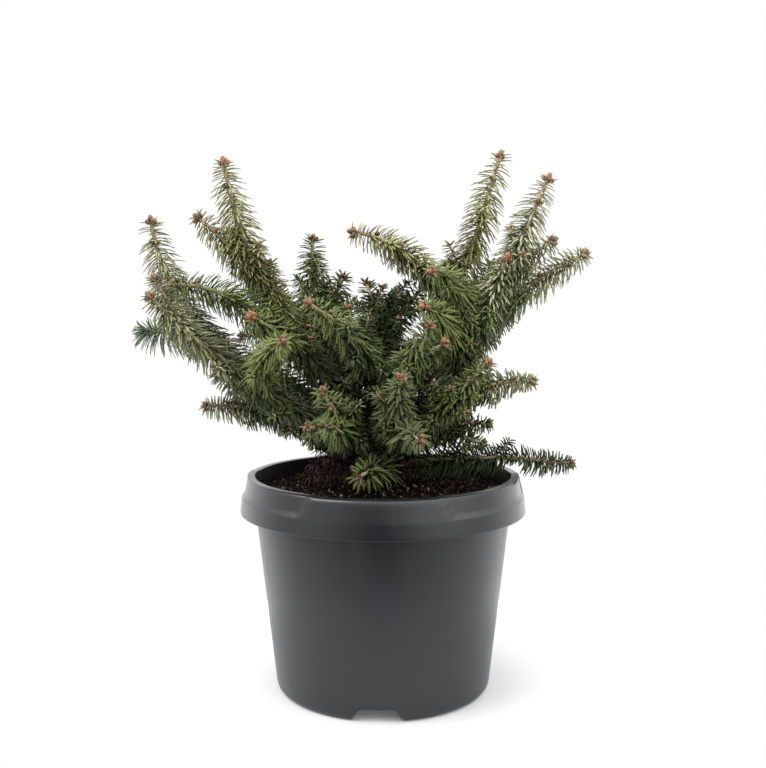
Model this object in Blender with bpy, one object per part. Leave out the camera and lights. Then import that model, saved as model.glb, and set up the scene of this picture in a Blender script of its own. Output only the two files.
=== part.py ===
"""A young balsam fir in a five litre nursery pot. Metres, +Z up, origin under the pot's axis.

The pot is a thin moulded shell with a hanging rim, three raised drain channels and three rim
panels. Compost fills it to just under the rim. A short trunk rises from the compost, and tapering
boughs leave it all the way round. Each bough ends where it enters a spray: one leading shoot with
side shoots, whose needles stand out of a slim core.
"""

import math
from typing import NamedTuple

import bmesh
import bpy
import numpy as np

GAP = 0.0003  # clearance kept between neighbouring solids

# Pot
POT_HEIGHT = 0.173
WALL = 0.0018
BASE_RADIUS = 0.0864
BASE_CORNER = 0.0065
BODY_TAPER = 0.110  # gain in radius for each unit of height
RIM_DROP = 0.029  # from the top edge to the rim's lower lip
RIM_RADIUS = 0.115
LIP_RADIUS = 0.110
LAND_RADIUS = 0.1048
RECESS = 0.0016  # depth of the grip recesses between the rim's panels
PANEL_DIP = 0.0007
SECTORS = 3
TURN = -3.0  # the pot stands turned by this many degrees about its axis
PANEL_HALF = 24.0  # half the angle that a rim panel takes
CHANNEL_HEIGHT = 0.0085
CHANNEL_HALF = 0.0125  # half the flat top of a drain channel
CHANNEL_SLOPE = 0.0075
CHANNEL_START = 0.030
HOLE_RADIUS = 0.0045
HOLE_REACH = 0.062
SECTOR_ANGLES = (-52, -43, -34, -26, -22, -14, -8, 0, 8, 14, 22, 26, 34, 43, 52, 60)

# Compost
SOIL_EDGE = 0.1605
SOIL_TOP = 0.1645
SOIL_FLAT = 0.038  # radius of the level middle that the trunk stands on
SOIL_ROUGH = 0.0012

# Limbs
TRUNK_SIDES = 8
TRUNK_LEAN = (  # x, y, height above the foot, radius
    (-0.012, 0.004, 0.000, 0.0115),
    (-0.013, 0.004, 0.005, 0.0088),
    (-0.013, 0.004, 0.015, 0.0076),
    (-0.010, 0.007, 0.040, 0.0065),
    (-0.006, 0.010, 0.070, 0.0052),
    (-0.004, 0.012, 0.096, 0.0036),
)
BOUGH_SIDES = 6
BOUGH_RINGS = 4
BOUGH_SAG = 0.16

# Sprays
CORE_SIDES = 3
CORE_ROOT = 0.0021
CORE_TIP = 0.0014
RING_STEP = 0.0059
RING_TURN = 0.37  # twist from one ring of needles to the next
NEEDLE = 0.0195
NEEDLE_LEAST = 0.006
SWEEP_BACK = 14.0  # degrees that a needle leans back from square to its shoot
SWEEP_TIP = -48.0
DROOP = 0.38
UPPER_SHORT = 0.35  # how much shorter a needle is that points straight up
BUD_RADIUS = 0.0024
BUD_LENGTH = 0.006
BARE_ROOT = 0.0075  # no needle grows nearer than this to a joint
BARE_JOINT = 0.005
KEEP_OFF = 0.0005
SEED = 12


class Shoot(NamedTuple):
    """Where a shoot ends, seen from the pot's axis, and how its middle bows away from a straight line."""

    heading: float  # degrees anticlockwise from +X
    reach: float
    height: float
    leaves_at: float = 0.0  # share of the leader's length
    rise: float = 0.0  # bow upwards
    spread: float = 0.0  # bow away from the pot's axis


class Spray(NamedTuple):
    """One bough and the mass that it carries. A spray with no bough stands on the trunk's tip."""

    name: str
    root_height: float  # where the bough leaves the trunk, above the ground
    bough: Shoot | None
    girth: float  # the bough's radius where it leaves the trunk
    leader: Shoot
    sides: tuple


SPRAYS = (
    Spray(
        "left_high", 0.236, Shoot(178, 0.050, 0.256), 0.0034,
        Shoot(176, 0.128, 0.423, 0, -0.014, 0.022),
        (Shoot(172, 0.153, 0.380, 0.46), Shoot(172, 0.096, 0.342, 0.26, 0.004)),
    ),
    Spray(
        "left_arch", 0.224, Shoot(192, 0.046, 0.246), 0.0030,
        Shoot(187, 0.166, 0.325, 0, 0.024, -0.012),
        (Shoot(204, 0.110, 0.300, 0.22),),
    ),
    Spray(
        "left_outer", 0.214, Shoot(166, 0.054, 0.236), 0.0034,
        Shoot(175, 0.189, 0.377, 0, -0.022, 0.040),
        (Shoot(180, 0.197, 0.283, 0.40),),
    ),
    Spray(
        "left_reach", 0.203, Shoot(197, 0.044, 0.213), 0.0034,
        Shoot(193, 0.182, 0.316, 0, -0.012, 0.012),
        (Shoot(228, 0.108, 0.283, 0.34, 0.004), Shoot(190, 0.178, 0.330, 0.76)),
    ),
    Spray(
        "left_low", 0.190, Shoot(175, 0.040, 0.202), 0.0028,
        Shoot(176, 0.146, 0.226, 0, 0.012),
        (Shoot(168, 0.142, 0.252, 0.34), Shoot(208, 0.082, 0.203, 0.04, -0.004)),
    ),
    Spray(
        "back_left_high", 0.244, Shoot(144, 0.040, 0.264), 0.0028,
        Shoot(140, 0.077, 0.365, 0, -0.010, 0.012),
        (Shoot(116, 0.078, 0.333, 0.22),),
    ),
    Spray(
        "crown_top", 0.0, None, 0.0,
        Shoot(76, 0.052, 0.327),
        (Shoot(114, 0.032, 0.323, 0.20), Shoot(46, 0.054, 0.318, 0.12)),
    ),
    Spray(
        "front_upper", 0.248, Shoot(236, 0.018, 0.262), 0.0028,
        Shoot(227, 0.082, 0.311),
        (Shoot(228, 0.042, 0.308, 0.26),),
    ),
    Spray(
        "front_right", 0.236, Shoot(288, 0.022, 0.246), 0.0028,
        Shoot(296, 0.078, 0.295),
        (Shoot(313, 0.069, 0.281, 0.24),),
    ),
    Spray(
        "front_mid", 0.206, Shoot(277, 0.026, 0.206), 0.0028,
        Shoot(278, 0.096, 0.259, 0, -0.010),
        (Shoot(285, 0.104, 0.214, 0.22),),
    ),
    Spray(
        "front_left", 0.193, Shoot(228, 0.032, 0.203), 0.0028,
        Shoot(242, 0.096, 0.248),
        (Shoot(231, 0.090, 0.219, 0.15), Shoot(246, 0.099, 0.223, 0.28, -0.004)),
    ),
    Spray(
        "front_low", 0.178, Shoot(276, 0.022, 0.182), 0.0024,
        Shoot(256, 0.077, 0.182, 0, 0.004),
        (),
    ),
    Spray(
        "right_main", 0.206, Shoot(358, 0.052, 0.242), 0.0042,
        Shoot(0, 0.131, 0.409, 0, -0.008, 0.013),
        (
            Shoot(13, 0.174, 0.353, 0.24, 0.006),
            Shoot(6, 0.139, 0.361, 0.50),
            Shoot(309, 0.058, 0.334, 0.22, 0.024),
            Shoot(299, 0.062, 0.308, 0.10, 0.012),
            Shoot(352, 0.098, 0.362, 0.30),
        ),
    ),
    Spray(
        "right_inner", 0.228, Shoot(16, 0.040, 0.264), 0.0034,
        Shoot(20, 0.103, 0.432, 0, -0.014, 0.016),
        (Shoot(149, 0.029, 0.368, 0.26, 0.014), Shoot(28, 0.062, 0.352, 0.24)),
    ),
    Spray(
        "right_mid", 0.192, Shoot(328, 0.030, 0.210), 0.0030,
        Shoot(331, 0.092, 0.266),
        (Shoot(0, 0.121, 0.248, 0.30, 0.010),),
    ),
    Spray(
        "right_low", 0.1855, Shoot(28, 0.030, 0.198), 0.0026,
        Shoot(24, 0.099, 0.208),
        (Shoot(29, 0.080, 0.220, 0.26), Shoot(19, 0.090, 0.192, 0.22)),
    ),
    Spray(
        "right_ground", 0.1765, Shoot(17, 0.026, 0.181), 0.0026,
        Shoot(7, 0.158, 0.180, 0, 0.010),
        (),
    ),
    Spray(
        "back_left", 0.230, Shoot(128, 0.054, 0.248), 0.0034,
        Shoot(136, 0.138, 0.326),
        (Shoot(118, 0.130, 0.285, 0.26), Shoot(152, 0.140, 0.282, 0.30)),
    ),
    Spray(
        "back_centre", 0.208, Shoot(95, 0.046, 0.230), 0.0034,
        Shoot(93, 0.135, 0.316),
        (Shoot(76, 0.124, 0.272, 0.26), Shoot(107, 0.124, 0.262, 0.28)),
    ),
    Spray(
        "back_right", 0.219, Shoot(48, 0.046, 0.244), 0.0036,
        Shoot(44, 0.134, 0.345),
        (Shoot(32, 0.130, 0.298, 0.24), Shoot(62, 0.132, 0.306, 0.28)),
    ),
    Spray(
        "back_low_left", 0.200, Shoot(146, 0.044, 0.206), 0.0028,
        Shoot(146, 0.128, 0.222),
        (Shoot(130, 0.112, 0.212, 0.20),),
    ),
    Spray(
        "back_low", 0.186, Shoot(98, 0.044, 0.196), 0.0028,
        Shoot(100, 0.122, 0.208),
        (Shoot(84, 0.108, 0.222, 0.20),),
    ),
    Spray(
        "back_low_right", 0.196, Shoot(55, 0.040, 0.206), 0.0028,
        Shoot(52, 0.120, 0.220),
        (Shoot(38, 0.108, 0.238, 0.20),),
    ),
)

COLOURS = {  # base colour, roughness
    "pot": ((0.060, 0.064, 0.070), 0.45),
    "soil": ((0.030, 0.018, 0.012), 0.95),
    "bark": ((0.150, 0.085, 0.050), 0.85),
    "needles": ((0.095, 0.150, 0.050), 0.55),
}


UPRIGHT = (np.array([1.0, 0.0, 0.0]), np.array([0.0, 1.0, 0.0]))


def unit(v):
    return v / np.linalg.norm(v)


def place(shoot):
    """The tip of a shoot as a point."""
    a = math.radians(shoot.heading)
    return np.array([shoot.reach * math.cos(a), shoot.reach * math.sin(a), shoot.height])


class Path:
    """A quadratic curve from a root, by a middle point, to a tip."""

    def __init__(self, root, middle, tip, cut=None):
        self.points = np.array([root, middle, tip], float)
        self.cut = cut  # the way that the root's flat end faces back along
        fine = self.at(np.linspace(0, 1, 33))
        self.length = float(np.linalg.norm(np.diff(fine, axis=0), axis=1).sum())

    def at(self, t):
        t = np.asarray(t, float)[..., None]
        a, b, c = self.points
        return (1 - t) ** 2 * a + 2 * t * (1 - t) * b + t**2 * c

    def along(self, t):
        t = np.asarray(t, float)[..., None]
        a, b, c = self.points
        d = 2 * (1 - t) * (b - a) + 2 * t * (c - b)
        return d / np.linalg.norm(d, axis=-1, keepdims=True)

    def pieces(self):
        line = self.at(np.linspace(0, 1, max(4, int(self.length / 0.004))))
        return np.stack([line[:-1], line[1:]], axis=1)


def trunk_line():
    foot = SOIL_TOP + GAP
    return np.array([(x, y, foot + rise) for x, y, rise, _ in TRUNK_LEAN])


def trunk_radii():
    return np.array([row[3] for row in TRUNK_LEAN])


def bough_path(spray):
    line = trunk_line()
    root = np.array([np.interp(spray.root_height, line[:, 2], line[:, i]) for i in range(3)])
    tip = place(spray.bough)
    middle = (root + tip) / 2
    middle[2] -= BOUGH_SAG * np.linalg.norm(tip - root)
    return Path(root, middle, tip)


def leader_path(spray, bough):
    """The leading shoot carries on in line from its bough, or from the trunk's tip."""
    if bough is None:
        line = trunk_line()
        end, way = line[-1], unit(line[-1] - line[-2])
    else:
        end, way = bough.points[2], bough.along(1.0)
    root = end + way * GAP
    tip = place(spray.leader)
    if not (spray.leader.rise or spray.leader.spread):
        return Path(root, root + way * 0.42 * np.linalg.norm(tip - root), tip, way)
    return Path(root, (root + tip) / 2 + bow(spray.leader), tip, way)


def bow(shoot):
    a = math.radians(shoot.heading)
    return np.array([shoot.spread * math.cos(a), shoot.spread * math.sin(a), shoot.rise])


def side_path(leader, side):
    root = leader.at(side.leaves_at)
    tip = place(side)
    way = unit(unit(tip - root) + 0.6 * leader.along(side.leaves_at))
    return Path(root, root + way * 0.45 * np.linalg.norm(tip - root) + bow(side), tip)


class Skeleton:
    """Every limb and shoot as a line, so that each needle can be kept to its own spray's space."""

    def __init__(self):
        self.boughs = {s.name: bough_path(s) for s in SPRAYS if s.bough}
        self.shoots = []  # (spray's name, path, whether it leads)
        for spray in SPRAYS:
            leader = leader_path(spray, self.boughs.get(spray.name))
            self.shoots.append((spray.name, leader, True))
            self.shoots += [(spray.name, side_path(leader, side), False) for side in spray.sides]
        pieces = [path.pieces() for _, path, _ in self.shoots]
        self.shoot_pieces = np.concatenate(pieces)
        self.owner = np.repeat(np.arange(len(pieces)), [len(p) for p in pieces])
        self.spray_of = np.array([s.name for s in SPRAYS for _ in range(1 + len(s.sides))])
        limb, girth = [], []
        line, radii = trunk_line(), trunk_radii()
        limb.append(np.stack([line[:-1], line[1:]], axis=1))
        girth.append(radii[:-1])
        for spray in SPRAYS:
            if spray.bough:
                found = self.boughs[spray.name].pieces()
                limb.append(found)
                girth.append(np.full(len(found), spray.girth))
        self.limb_pieces = np.concatenate(limb)
        self.limb_girth = np.concatenate(girth)

    def joints(self, index):
        """The points where a shoot is joined to others of its own spray."""
        name, path, leads = self.shoots[index]
        if not leads:
            return path.points[:1]
        sides = [path for other, path, first in self.shoots if other == name and not first]
        return np.array([side.points[0] for side in sides])

    def rivals(self, index):
        """The pieces of a shoot, and those of every other shoot less the joints that it shares."""
        own = self.shoot_pieces[self.owner == index]
        other = self.shoot_pieces[self.owner != index]
        joints = self.joints(index)
        if not len(joints):
            return own, other
        kin = self.spray_of[self.owner[self.owner != index]] == self.spray_of[index]
        at_joint = np.linalg.norm(other.mean(axis=1)[:, None] - joints, axis=2).min(axis=1) < BARE_JOINT
        return own, other[~(kin & at_joint)]


def nearest(points, pieces):
    """The distance from each point to the nearest of the straight pieces."""
    return distances(points, pieces).min(axis=1)


def distances(points, pieces):
    a, d = pieces[:, 0], pieces[:, 1] - pieces[:, 0]
    away = points[:, None] - a
    t = np.clip((away * d).sum(-1) / np.maximum((d * d).sum(-1), 1e-12), 0, 1)
    return np.linalg.norm(away - t[..., None] * d, axis=-1)


def soil_height(radius, angle):
    """The compost's surface: level in the middle and rough towards the wall."""
    out = max(0.0, (radius - SOIL_FLAT) / (LAND_RADIUS - SOIL_FLAT))
    fall = (SOIL_TOP - SOIL_EDGE) * out**1.6 + SOIL_ROUGH * 0.5 * out
    wave = math.sin(5 * angle + 1.0) + 0.7 * math.sin(9 * angle + 40 * radius)
    return SOIL_TOP - fall + SOIL_ROUGH * wave * math.sin(math.pi * min(out, 1.0))


class Room:
    """The space that one shoot's needles may take."""

    def __init__(self, skeleton, index):
        self.own, self.rivals = skeleton.rivals(index)
        self.joints = skeleton.joints(index)
        self.limbs, self.girth = skeleton.limb_pieces, skeleton.limb_girth

    def free(self, points, half_width):
        mine = nearest(points, self.own)
        theirs = nearest(points, self.rivals)
        limbs = (distances(points, self.limbs) - self.girth).min(axis=1)
        ok = (theirs - mine > 2 * half_width + KEEP_OFF) & (theirs > CORE_ROOT + half_width + KEEP_OFF)
        ok &= limbs > half_width + KEEP_OFF
        radius = np.hypot(points[:, 0], points[:, 1])
        over_rim = (radius > LAND_RADIUS - 0.006) & (radius < RIM_RADIUS + 0.002)
        floor = np.where(over_rim, POT_HEIGHT, np.where(radius < RIM_RADIUS, SOIL_TOP, 0.0))
        return ok & (points[:, 2] > floor + 0.0016)

    def bare(self, point):
        """Whether a point is too near a joint to bear a needle."""
        return len(self.joints) and np.linalg.norm(self.joints - point, axis=1).min() < BARE_ROOT

    def reach(self, root, way, length, base):
        """How far a needle may grow from its root, up to its full length."""
        t = np.linspace(0.3, 1.0, 8)
        points = root + np.outer(t * length, way)
        ok = self.free(points, base * (1 - t) + 0.0002)
        if ok.all():
            return length
        first = int(np.argmin(ok))
        return 0.0 if first == 0 else float(t[first - 1]) * length


def mesh_object(name, verts, faces, colour):
    """A closed mesh as an object with its own material."""
    mesh = bpy.data.meshes.new(name)
    mesh.from_pydata([tuple(v) for v in verts], [], faces)
    bm = bmesh.new()
    bm.from_mesh(mesh)
    bmesh.ops.recalc_face_normals(bm, faces=bm.faces)
    bm.to_mesh(mesh)
    bm.free()
    mesh.update()
    mesh.materials.append(material(name, colour))
    obj = bpy.data.objects.new(name, mesh)
    bpy.context.scene.collection.objects.link(obj)
    return obj


def material(name, colour):
    base, roughness = COLOURS[colour]
    made = bpy.data.materials.new(name)
    made.use_nodes = True
    shader = made.node_tree.nodes["Principled BSDF"]
    shader.inputs["Base Color"].default_value = (*base, 1.0)
    shader.inputs["Roughness"].default_value = roughness
    shader.inputs["Metallic"].default_value = 0.0
    return made


def smooth(obj, degrees=35):
    obj.data.shade_smooth()
    obj.data.set_sharp_from_angle(angle=math.radians(degrees))


def frames(ways):
    """Two directions square to each way, carried along a line without a twist."""
    across = np.cross(ways[0], [0.30, 0.93, 0.22])
    found = []
    for way in ways:
        across = unit(across - way * (across @ way))
        found.append((across, np.cross(way, across)))
    return found


def ring(centre, frame, radius, sides, roll=0.0):
    u, v = frame
    turns = [roll + 2 * math.pi * i / sides for i in range(sides)]
    return [centre + radius * (math.cos(a) * u + math.sin(a) * v) for a in turns]


def grid_faces(rows, columns):
    """Quads between successive closed rows of points."""
    quads = []
    for low in range(0, (rows - 1) * columns, columns):
        high = low + columns
        for c in range(columns):
            d = (c + 1) % columns
            quads.append((low + c, low + d, high + d, high + c))
    return quads


def halved(quads, first):
    """Quads cut in two from their corner number first, so that facing surfaces fold the same way."""
    turned_round = [quad[first:] + quad[:first] for quad in quads]
    return [f for a, b, c, d in turned_round for f in ((a, b, c), (a, c, d))]


def tube(name, centres, ways, radii, sides, colour):
    """A tapering limb with a flat cut at each end."""
    verts = [p for c, f, r in zip(centres, frames(ways), radii) for p in ring(c, f, r, sides)]
    faces = grid_faces(len(centres), sides)
    last = (len(centres) - 1) * sides
    faces += [tuple(range(sides)), tuple(range(last, last + sides))]
    return mesh_object(name, verts, faces, colour)


def pot_angles():
    """The angle of each column, and how far it lies from its sector's middle, in degrees."""
    pairs = [(sector * 360 / SECTORS + a, a) for sector in range(SECTORS) for a in SECTOR_ANGLES]
    return [(math.radians(whole - 90 + TURN), offset) for whole, offset in pairs]


def eased(x):
    x = min(1.0, max(0.0, x))
    return x * x * (3 - 2 * x)


def channel_rise(radius, offset):
    """How far a drain channel lifts the floor at this place."""
    if abs(offset) > 40 or radius < CHANNEL_START:
        return 0.0
    beside = abs(radius * math.sin(math.radians(offset))) - CHANNEL_HALF
    return CHANNEL_HEIGHT * (1 - eased(beside / CHANNEL_SLOPE)) * eased((radius - CHANNEL_START) / 0.009)


def body_radius(height):
    return BASE_RADIUS + BODY_TAPER * (height - BASE_CORNER)


def outer_profile():
    """The pot's outer section from under its middle to its top edge: radius, height and kind of surface."""
    lip = POT_HEIGHT - RIM_DROP
    under = POT_HEIGHT - 0.0065
    return [
        (CHANNEL_START, 0.0, "floor"),
        (CHANNEL_START + 0.009, 0.0, "floor"),
        (BASE_RADIUS - 0.0055, 0.0, "floor"),
        (BASE_RADIUS - 0.0014, 0.0022, "foot"),
        (BASE_RADIUS, BASE_CORNER, "foot"),
        (body_radius(0.020), 0.020, "wall"),
        (body_radius(0.160), 0.160, "wall"),
        (body_radius(under) + 0.0016, under, "wall"),
        (RIM_RADIUS - 0.0052, under - 0.0045, "wall"),
        (RIM_RADIUS - 0.0021, lip + 0.0022, "wall"),
        (RIM_RADIUS - 0.0010, lip, "wall"),
        (RIM_RADIUS, lip + 0.0024, "wall"),
        (RIM_RADIUS - 0.0011, lip + 0.0105, "wall"),
        (RIM_RADIUS - 0.0016, lip + 0.0145, "band"),
        (LIP_RADIUS + 0.0016, POT_HEIGHT - 0.0032, "band"),
        (LIP_RADIUS - 0.0008, POT_HEIGHT, "top"),
    ]


def inner_profile():
    """The pot's inner section, from its floor up to its top edge."""
    return [
        (CHANNEL_START, WALL, "floor"),
        (CHANNEL_START + 0.009, WALL, "floor"),
        (BASE_RADIUS - 0.0060, WALL + 0.0003, "floor"),
        (BASE_RADIUS - WALL, BASE_CORNER + 0.002, "foot"),
        (body_radius(0.020) - WALL, 0.020, "wall"),
        (body_radius(POT_HEIGHT - 0.004) - WALL, POT_HEIGHT - 0.004, "wall"),
        (LAND_RADIUS, POT_HEIGHT, "top"),
    ]


def pot_point(radius, height, kind, angle, offset):
    in_panel = abs(offset) < PANEL_HALF
    if kind == "band" and not in_panel:
        radius -= RECESS
    if kind == "top" and in_panel:
        height -= PANEL_DIP
    if kind == "floor":
        height += channel_rise(radius, offset)
    if kind == "foot":
        height += channel_rise(radius, offset) * (1 - 0.35 * height / BASE_CORNER)
    return np.array([radius * math.cos(angle), radius * math.sin(angle), height])


def drain_cutter():
    """Three plugs that cut the drain holes through the channels' tops."""
    verts, faces, sides = [], [], 8
    for sector in range(SECTORS):
        a = math.radians(sector * 360 / SECTORS - 90 + TURN)
        centre = np.array([HOLE_REACH * math.cos(a), HOLE_REACH * math.sin(a), 0.0])
        start = len(verts)
        for height in (0.001, CHANNEL_HEIGHT + 0.008):
            verts += ring(centre + [0, 0, height], UPRIGHT, HOLE_RADIUS, sides)
        faces += [tuple(start + i for i in f) for f in grid_faces(2, sides)]
        faces += [tuple(range(start, start + sides)), tuple(range(start + sides, start + 2 * sides))]
    cutter = mesh_object("drain_cutter", verts, faces, "pot")
    cutter.hide_render = True
    cutter.display_type = "WIRE"
    return cutter


def make_pot():
    columns = pot_angles()
    count = len(columns)
    outer, inner = outer_profile(), inner_profile()[::-1]
    verts = [pot_point(*row, *column) for row in outer + inner for column in columns]
    quads = grid_faces(len(outer) + len(inner), count)
    turn = len(outer) * count
    faces = halved(quads[:turn], 0) + halved(quads[turn:], 1)
    faces += fan(verts, 0, count, 0.0) + fan(verts, turn + (len(inner) - 1) * count, count, WALL)
    pot = mesh_object("pot", verts, faces, "pot")
    cut = pot.modifiers.new("drain_holes", "BOOLEAN")
    cut.operation = "DIFFERENCE"
    cut.object = drain_cutter()
    smooth(pot)


def fan(verts, start, count, height):
    """Closes a row of points with a pole on the axis."""
    verts.append(np.array([0.0, 0.0, height]))
    return [(start + c, start + (c + 1) % count, len(verts) - 1) for c in range(count)]


def make_soil():
    """Compost from the pot's floor, clear of it all round, up to its rough top."""
    clear = GAP + 0.0001
    columns = pot_angles()
    count = len(columns)
    verts = []
    for radius, height, kind in inner_profile()[:5]:
        shrink = np.array([1 - clear / radius, 1 - clear / radius, 1.0])
        verts += [pot_point(radius, height, kind, *column) * shrink + [0, 0, clear] for column in columns]
    edge = body_radius(SOIL_EDGE - 0.002) - WALL - clear
    for radius in (edge, edge - 0.006, 0.078, 0.058, SOIL_FLAT):
        for angle, _ in columns:
            height = soil_height(radius, angle)
            verts.append(np.array([radius * math.cos(angle), radius * math.sin(angle), height]))
    total = len(verts) // count
    faces = halved(grid_faces(total, count), 0)
    faces.append(tuple(range((total - 1) * count, total * count)))
    faces += fan(verts, 0, count, WALL + clear)
    mesh_object("soil", verts, faces, "soil")


def line_ways(line):
    steps = np.diff(line, axis=0)
    ways = [steps[0], *(steps[:-1] + steps[1:]), steps[-1]]
    return [unit(w) for w in ways]


def make_trunk():
    """The trunk, and a slightly fatter copy that trims each bough clear of it."""
    line, radii = trunk_line(), trunk_radii()
    ways = line_ways(line)
    ways[0] = np.array([0.0, 0.0, 1.0])
    smooth(tube("trunk", line, ways, radii, TRUNK_SIDES, "bark"))
    long_line = np.array([line[0] - [0, 0, 0.01], *line[1:-1], line[-1] + ways[-1] * 0.001])
    fat = tube("trunk_clearance", long_line, ways, radii + GAP + 0.0001, TRUNK_SIDES, "bark")
    fat.hide_render = True
    fat.display_type = "WIRE"
    return fat


def make_bough(spray, path, clearance):
    """One tapering limb, cut where it meets the trunk."""
    t = np.linspace(0, 1, BOUGH_RINGS)
    radii = spray.girth + (CORE_ROOT - spray.girth) * t
    bough = tube("bough_" + spray.name, path.at(t), path.along(t), radii, BOUGH_SIDES, "bark")
    cut = bough.modifiers.new("clear_of_trunk", "BOOLEAN")
    cut.operation = "DIFFERENCE"
    cut.object = clearance
    smooth(bough)


def needle_way(way, out, share, random):
    """Needles lean back a little along their shoot and droop, but point forward near its tip."""
    sweep = SWEEP_BACK + random.uniform(-6, 6)
    if share > 0.9:
        sweep = SWEEP_TIP
    a = math.radians(sweep)
    droop = way * way[2] - np.array([0, 0, 1.0])
    return unit(out * math.cos(a) - way * math.sin(a) + DROOP * droop)


def shoot_object(name, path, leads, room, random):
    """A slim three-sided core whose faces rise into needles, ending in a bud."""
    steps = max(4, round((path.length - BUD_LENGTH) / RING_STEP))
    stop = 1 - BUD_LENGTH / path.length
    shares = np.linspace(0, stop, steps + 1)
    first = CORE_ROOT if leads else CORE_ROOT - 0.0004
    radii = first + (CORE_TIP - first) * np.linspace(0, 1, steps + 1)
    shares = np.append(shares, [stop + (1 - stop) * 0.45])
    radii = np.append(radii, [BUD_RADIUS])
    turn = random.uniform(0, math.pi)
    centres, ways = path.at(shares), path.along(shares)
    if path.cut is not None:
        ways[0] = path.cut
    rings = [
        ring(c, f, r, CORE_SIDES, turn + k * RING_TURN)
        for k, (c, f, r) in enumerate(zip(centres, frames(ways), radii))
    ]
    verts = [p for r in rings for p in r]
    faces = [tuple(range(CORE_SIDES))]
    for quad in grid_faces(len(rings), CORE_SIDES):
        k = quad[0] // CORE_SIDES
        middle = np.mean([verts[i] for i in quad], axis=0)
        axis = (centres[k] + centres[k + 1]) / 2
        if k == 0 or k >= steps or room.bare(middle):
            faces += halved([quad], 1)
            continue
        share = float(shares[k])
        way = needle_way(ways[k], unit(middle - axis), share, random)
        wanted = NEEDLE * random.uniform(0.9, 1.06) * min(1.0, 1.0 - 0.9 * (share - 0.6))
        wanted *= 1 - UPPER_SHORT * max(0.0, way[2])
        length = room.reach(middle, way, wanted, 0.0016)
        if length < NEEDLE_LEAST:
            faces += halved([quad], 1)
            continue
        verts.append(middle + way * length)
        faces += [(quad[i], quad[(i + 1) % 4], len(verts) - 1) for i in range(4)]
    verts.append(path.at(1.0))
    last = (len(rings) - 1) * CORE_SIDES
    faces += [(last + i, last + (i + 1) % CORE_SIDES, len(verts) - 1) for i in range(CORE_SIDES)]
    return mesh_object(name, verts, faces, "needles")


def keep_body(mesh):
    """A mesh's largest closed body alone: sealed hollows are filled and loose scraps dropped."""
    bm = bmesh.new()
    bm.from_mesh(mesh)
    left, bodies = set(bm.faces), []
    while left:
        body, front = set(), [left.pop()]
        while front:
            face = front.pop()
            body.add(face)
            near = {other for edge in face.edges for other in edge.link_faces} & left
            left -= near
            front += near
        bodies.append(body)
    bodies.sort(key=len)
    spare = [face for body in bodies[:-1] for face in body]
    bmesh.ops.delete(bm, geom=spare, context="FACES")
    bm.to_mesh(mesh)
    bm.free()
    return mesh


def join_spray(name, objects):
    """Fuses a spray's side shoots into its leader by one Boolean union, applied."""
    leader, sides = objects[0], objects[1:]
    leader.name = name
    if not sides:
        return
    held = bpy.data.collections.new(name + "_sides")
    bpy.context.scene.collection.children.link(held)
    for side in sides:
        bpy.context.scene.collection.objects.unlink(side)
        held.objects.link(side)
    union = leader.modifiers.new("join", "BOOLEAN")
    union.operation = "UNION"
    union.operand_type = "COLLECTION"
    union.collection = held
    union.solver = "MANIFOLD"
    bpy.context.view_layer.update()
    graph = bpy.context.evaluated_depsgraph_get()
    joined = bpy.data.meshes.new_from_object(leader.evaluated_get(graph))
    leader.modifiers.clear()
    leader.data = keep_body(joined)
    for side in sides:
        bpy.data.objects.remove(side)
    bpy.data.collections.remove(held)


def make_sprays(skeleton):
    random = np.random.default_rng(SEED)
    made = {spray.name: [] for spray in SPRAYS}
    for index, (name, path, leads) in enumerate(skeleton.shoots):
        room = Room(skeleton, index)
        made[name].append(shoot_object(f"{name}_{index}", path, leads, room, random))
    for name, objects in made.items():
        join_spray("spray_" + name, objects)


def main():
    for obj in list(bpy.data.objects):
        bpy.data.objects.remove(obj)
    make_pot()
    make_soil()
    clearance = make_trunk()
    skeleton = Skeleton()
    for spray in SPRAYS:
        if spray.bough:
            make_bough(spray, skeleton.boughs[spray.name], clearance)
    make_sprays(skeleton)


if __name__ == "__main__":
    main()
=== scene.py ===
"""Dresses a young balsam fir in its nursery pot: fine pot, compost, bark, twigs, buds and needles."""

import functools
import math
from typing import NamedTuple

import bpy
import numpy as np
from bpy.props import FloatProperty, FloatVectorProperty, IntProperty, PointerProperty
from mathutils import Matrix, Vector, noise


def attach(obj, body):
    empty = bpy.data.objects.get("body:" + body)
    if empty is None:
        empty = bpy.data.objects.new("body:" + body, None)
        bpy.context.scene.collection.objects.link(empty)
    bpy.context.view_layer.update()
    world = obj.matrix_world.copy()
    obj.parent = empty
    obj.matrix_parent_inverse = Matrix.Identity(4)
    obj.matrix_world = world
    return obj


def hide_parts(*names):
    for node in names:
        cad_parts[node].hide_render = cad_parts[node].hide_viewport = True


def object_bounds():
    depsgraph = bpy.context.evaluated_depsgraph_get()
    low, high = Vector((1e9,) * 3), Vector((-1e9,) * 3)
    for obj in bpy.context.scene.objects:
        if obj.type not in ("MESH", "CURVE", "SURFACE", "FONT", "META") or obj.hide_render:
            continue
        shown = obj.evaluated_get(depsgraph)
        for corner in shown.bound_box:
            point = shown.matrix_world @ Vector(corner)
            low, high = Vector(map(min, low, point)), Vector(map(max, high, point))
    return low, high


bl_info = {
    "name": "Potted Balsam Fir",
    "version": (1, 0, 0),
    "blender": (4, 5, 0),
    "location": "3D View > Sidebar > Fir",
    "description": "Grows a young balsam fir in a nursery pot, piece by piece",
    "category": "Object",
}

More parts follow.
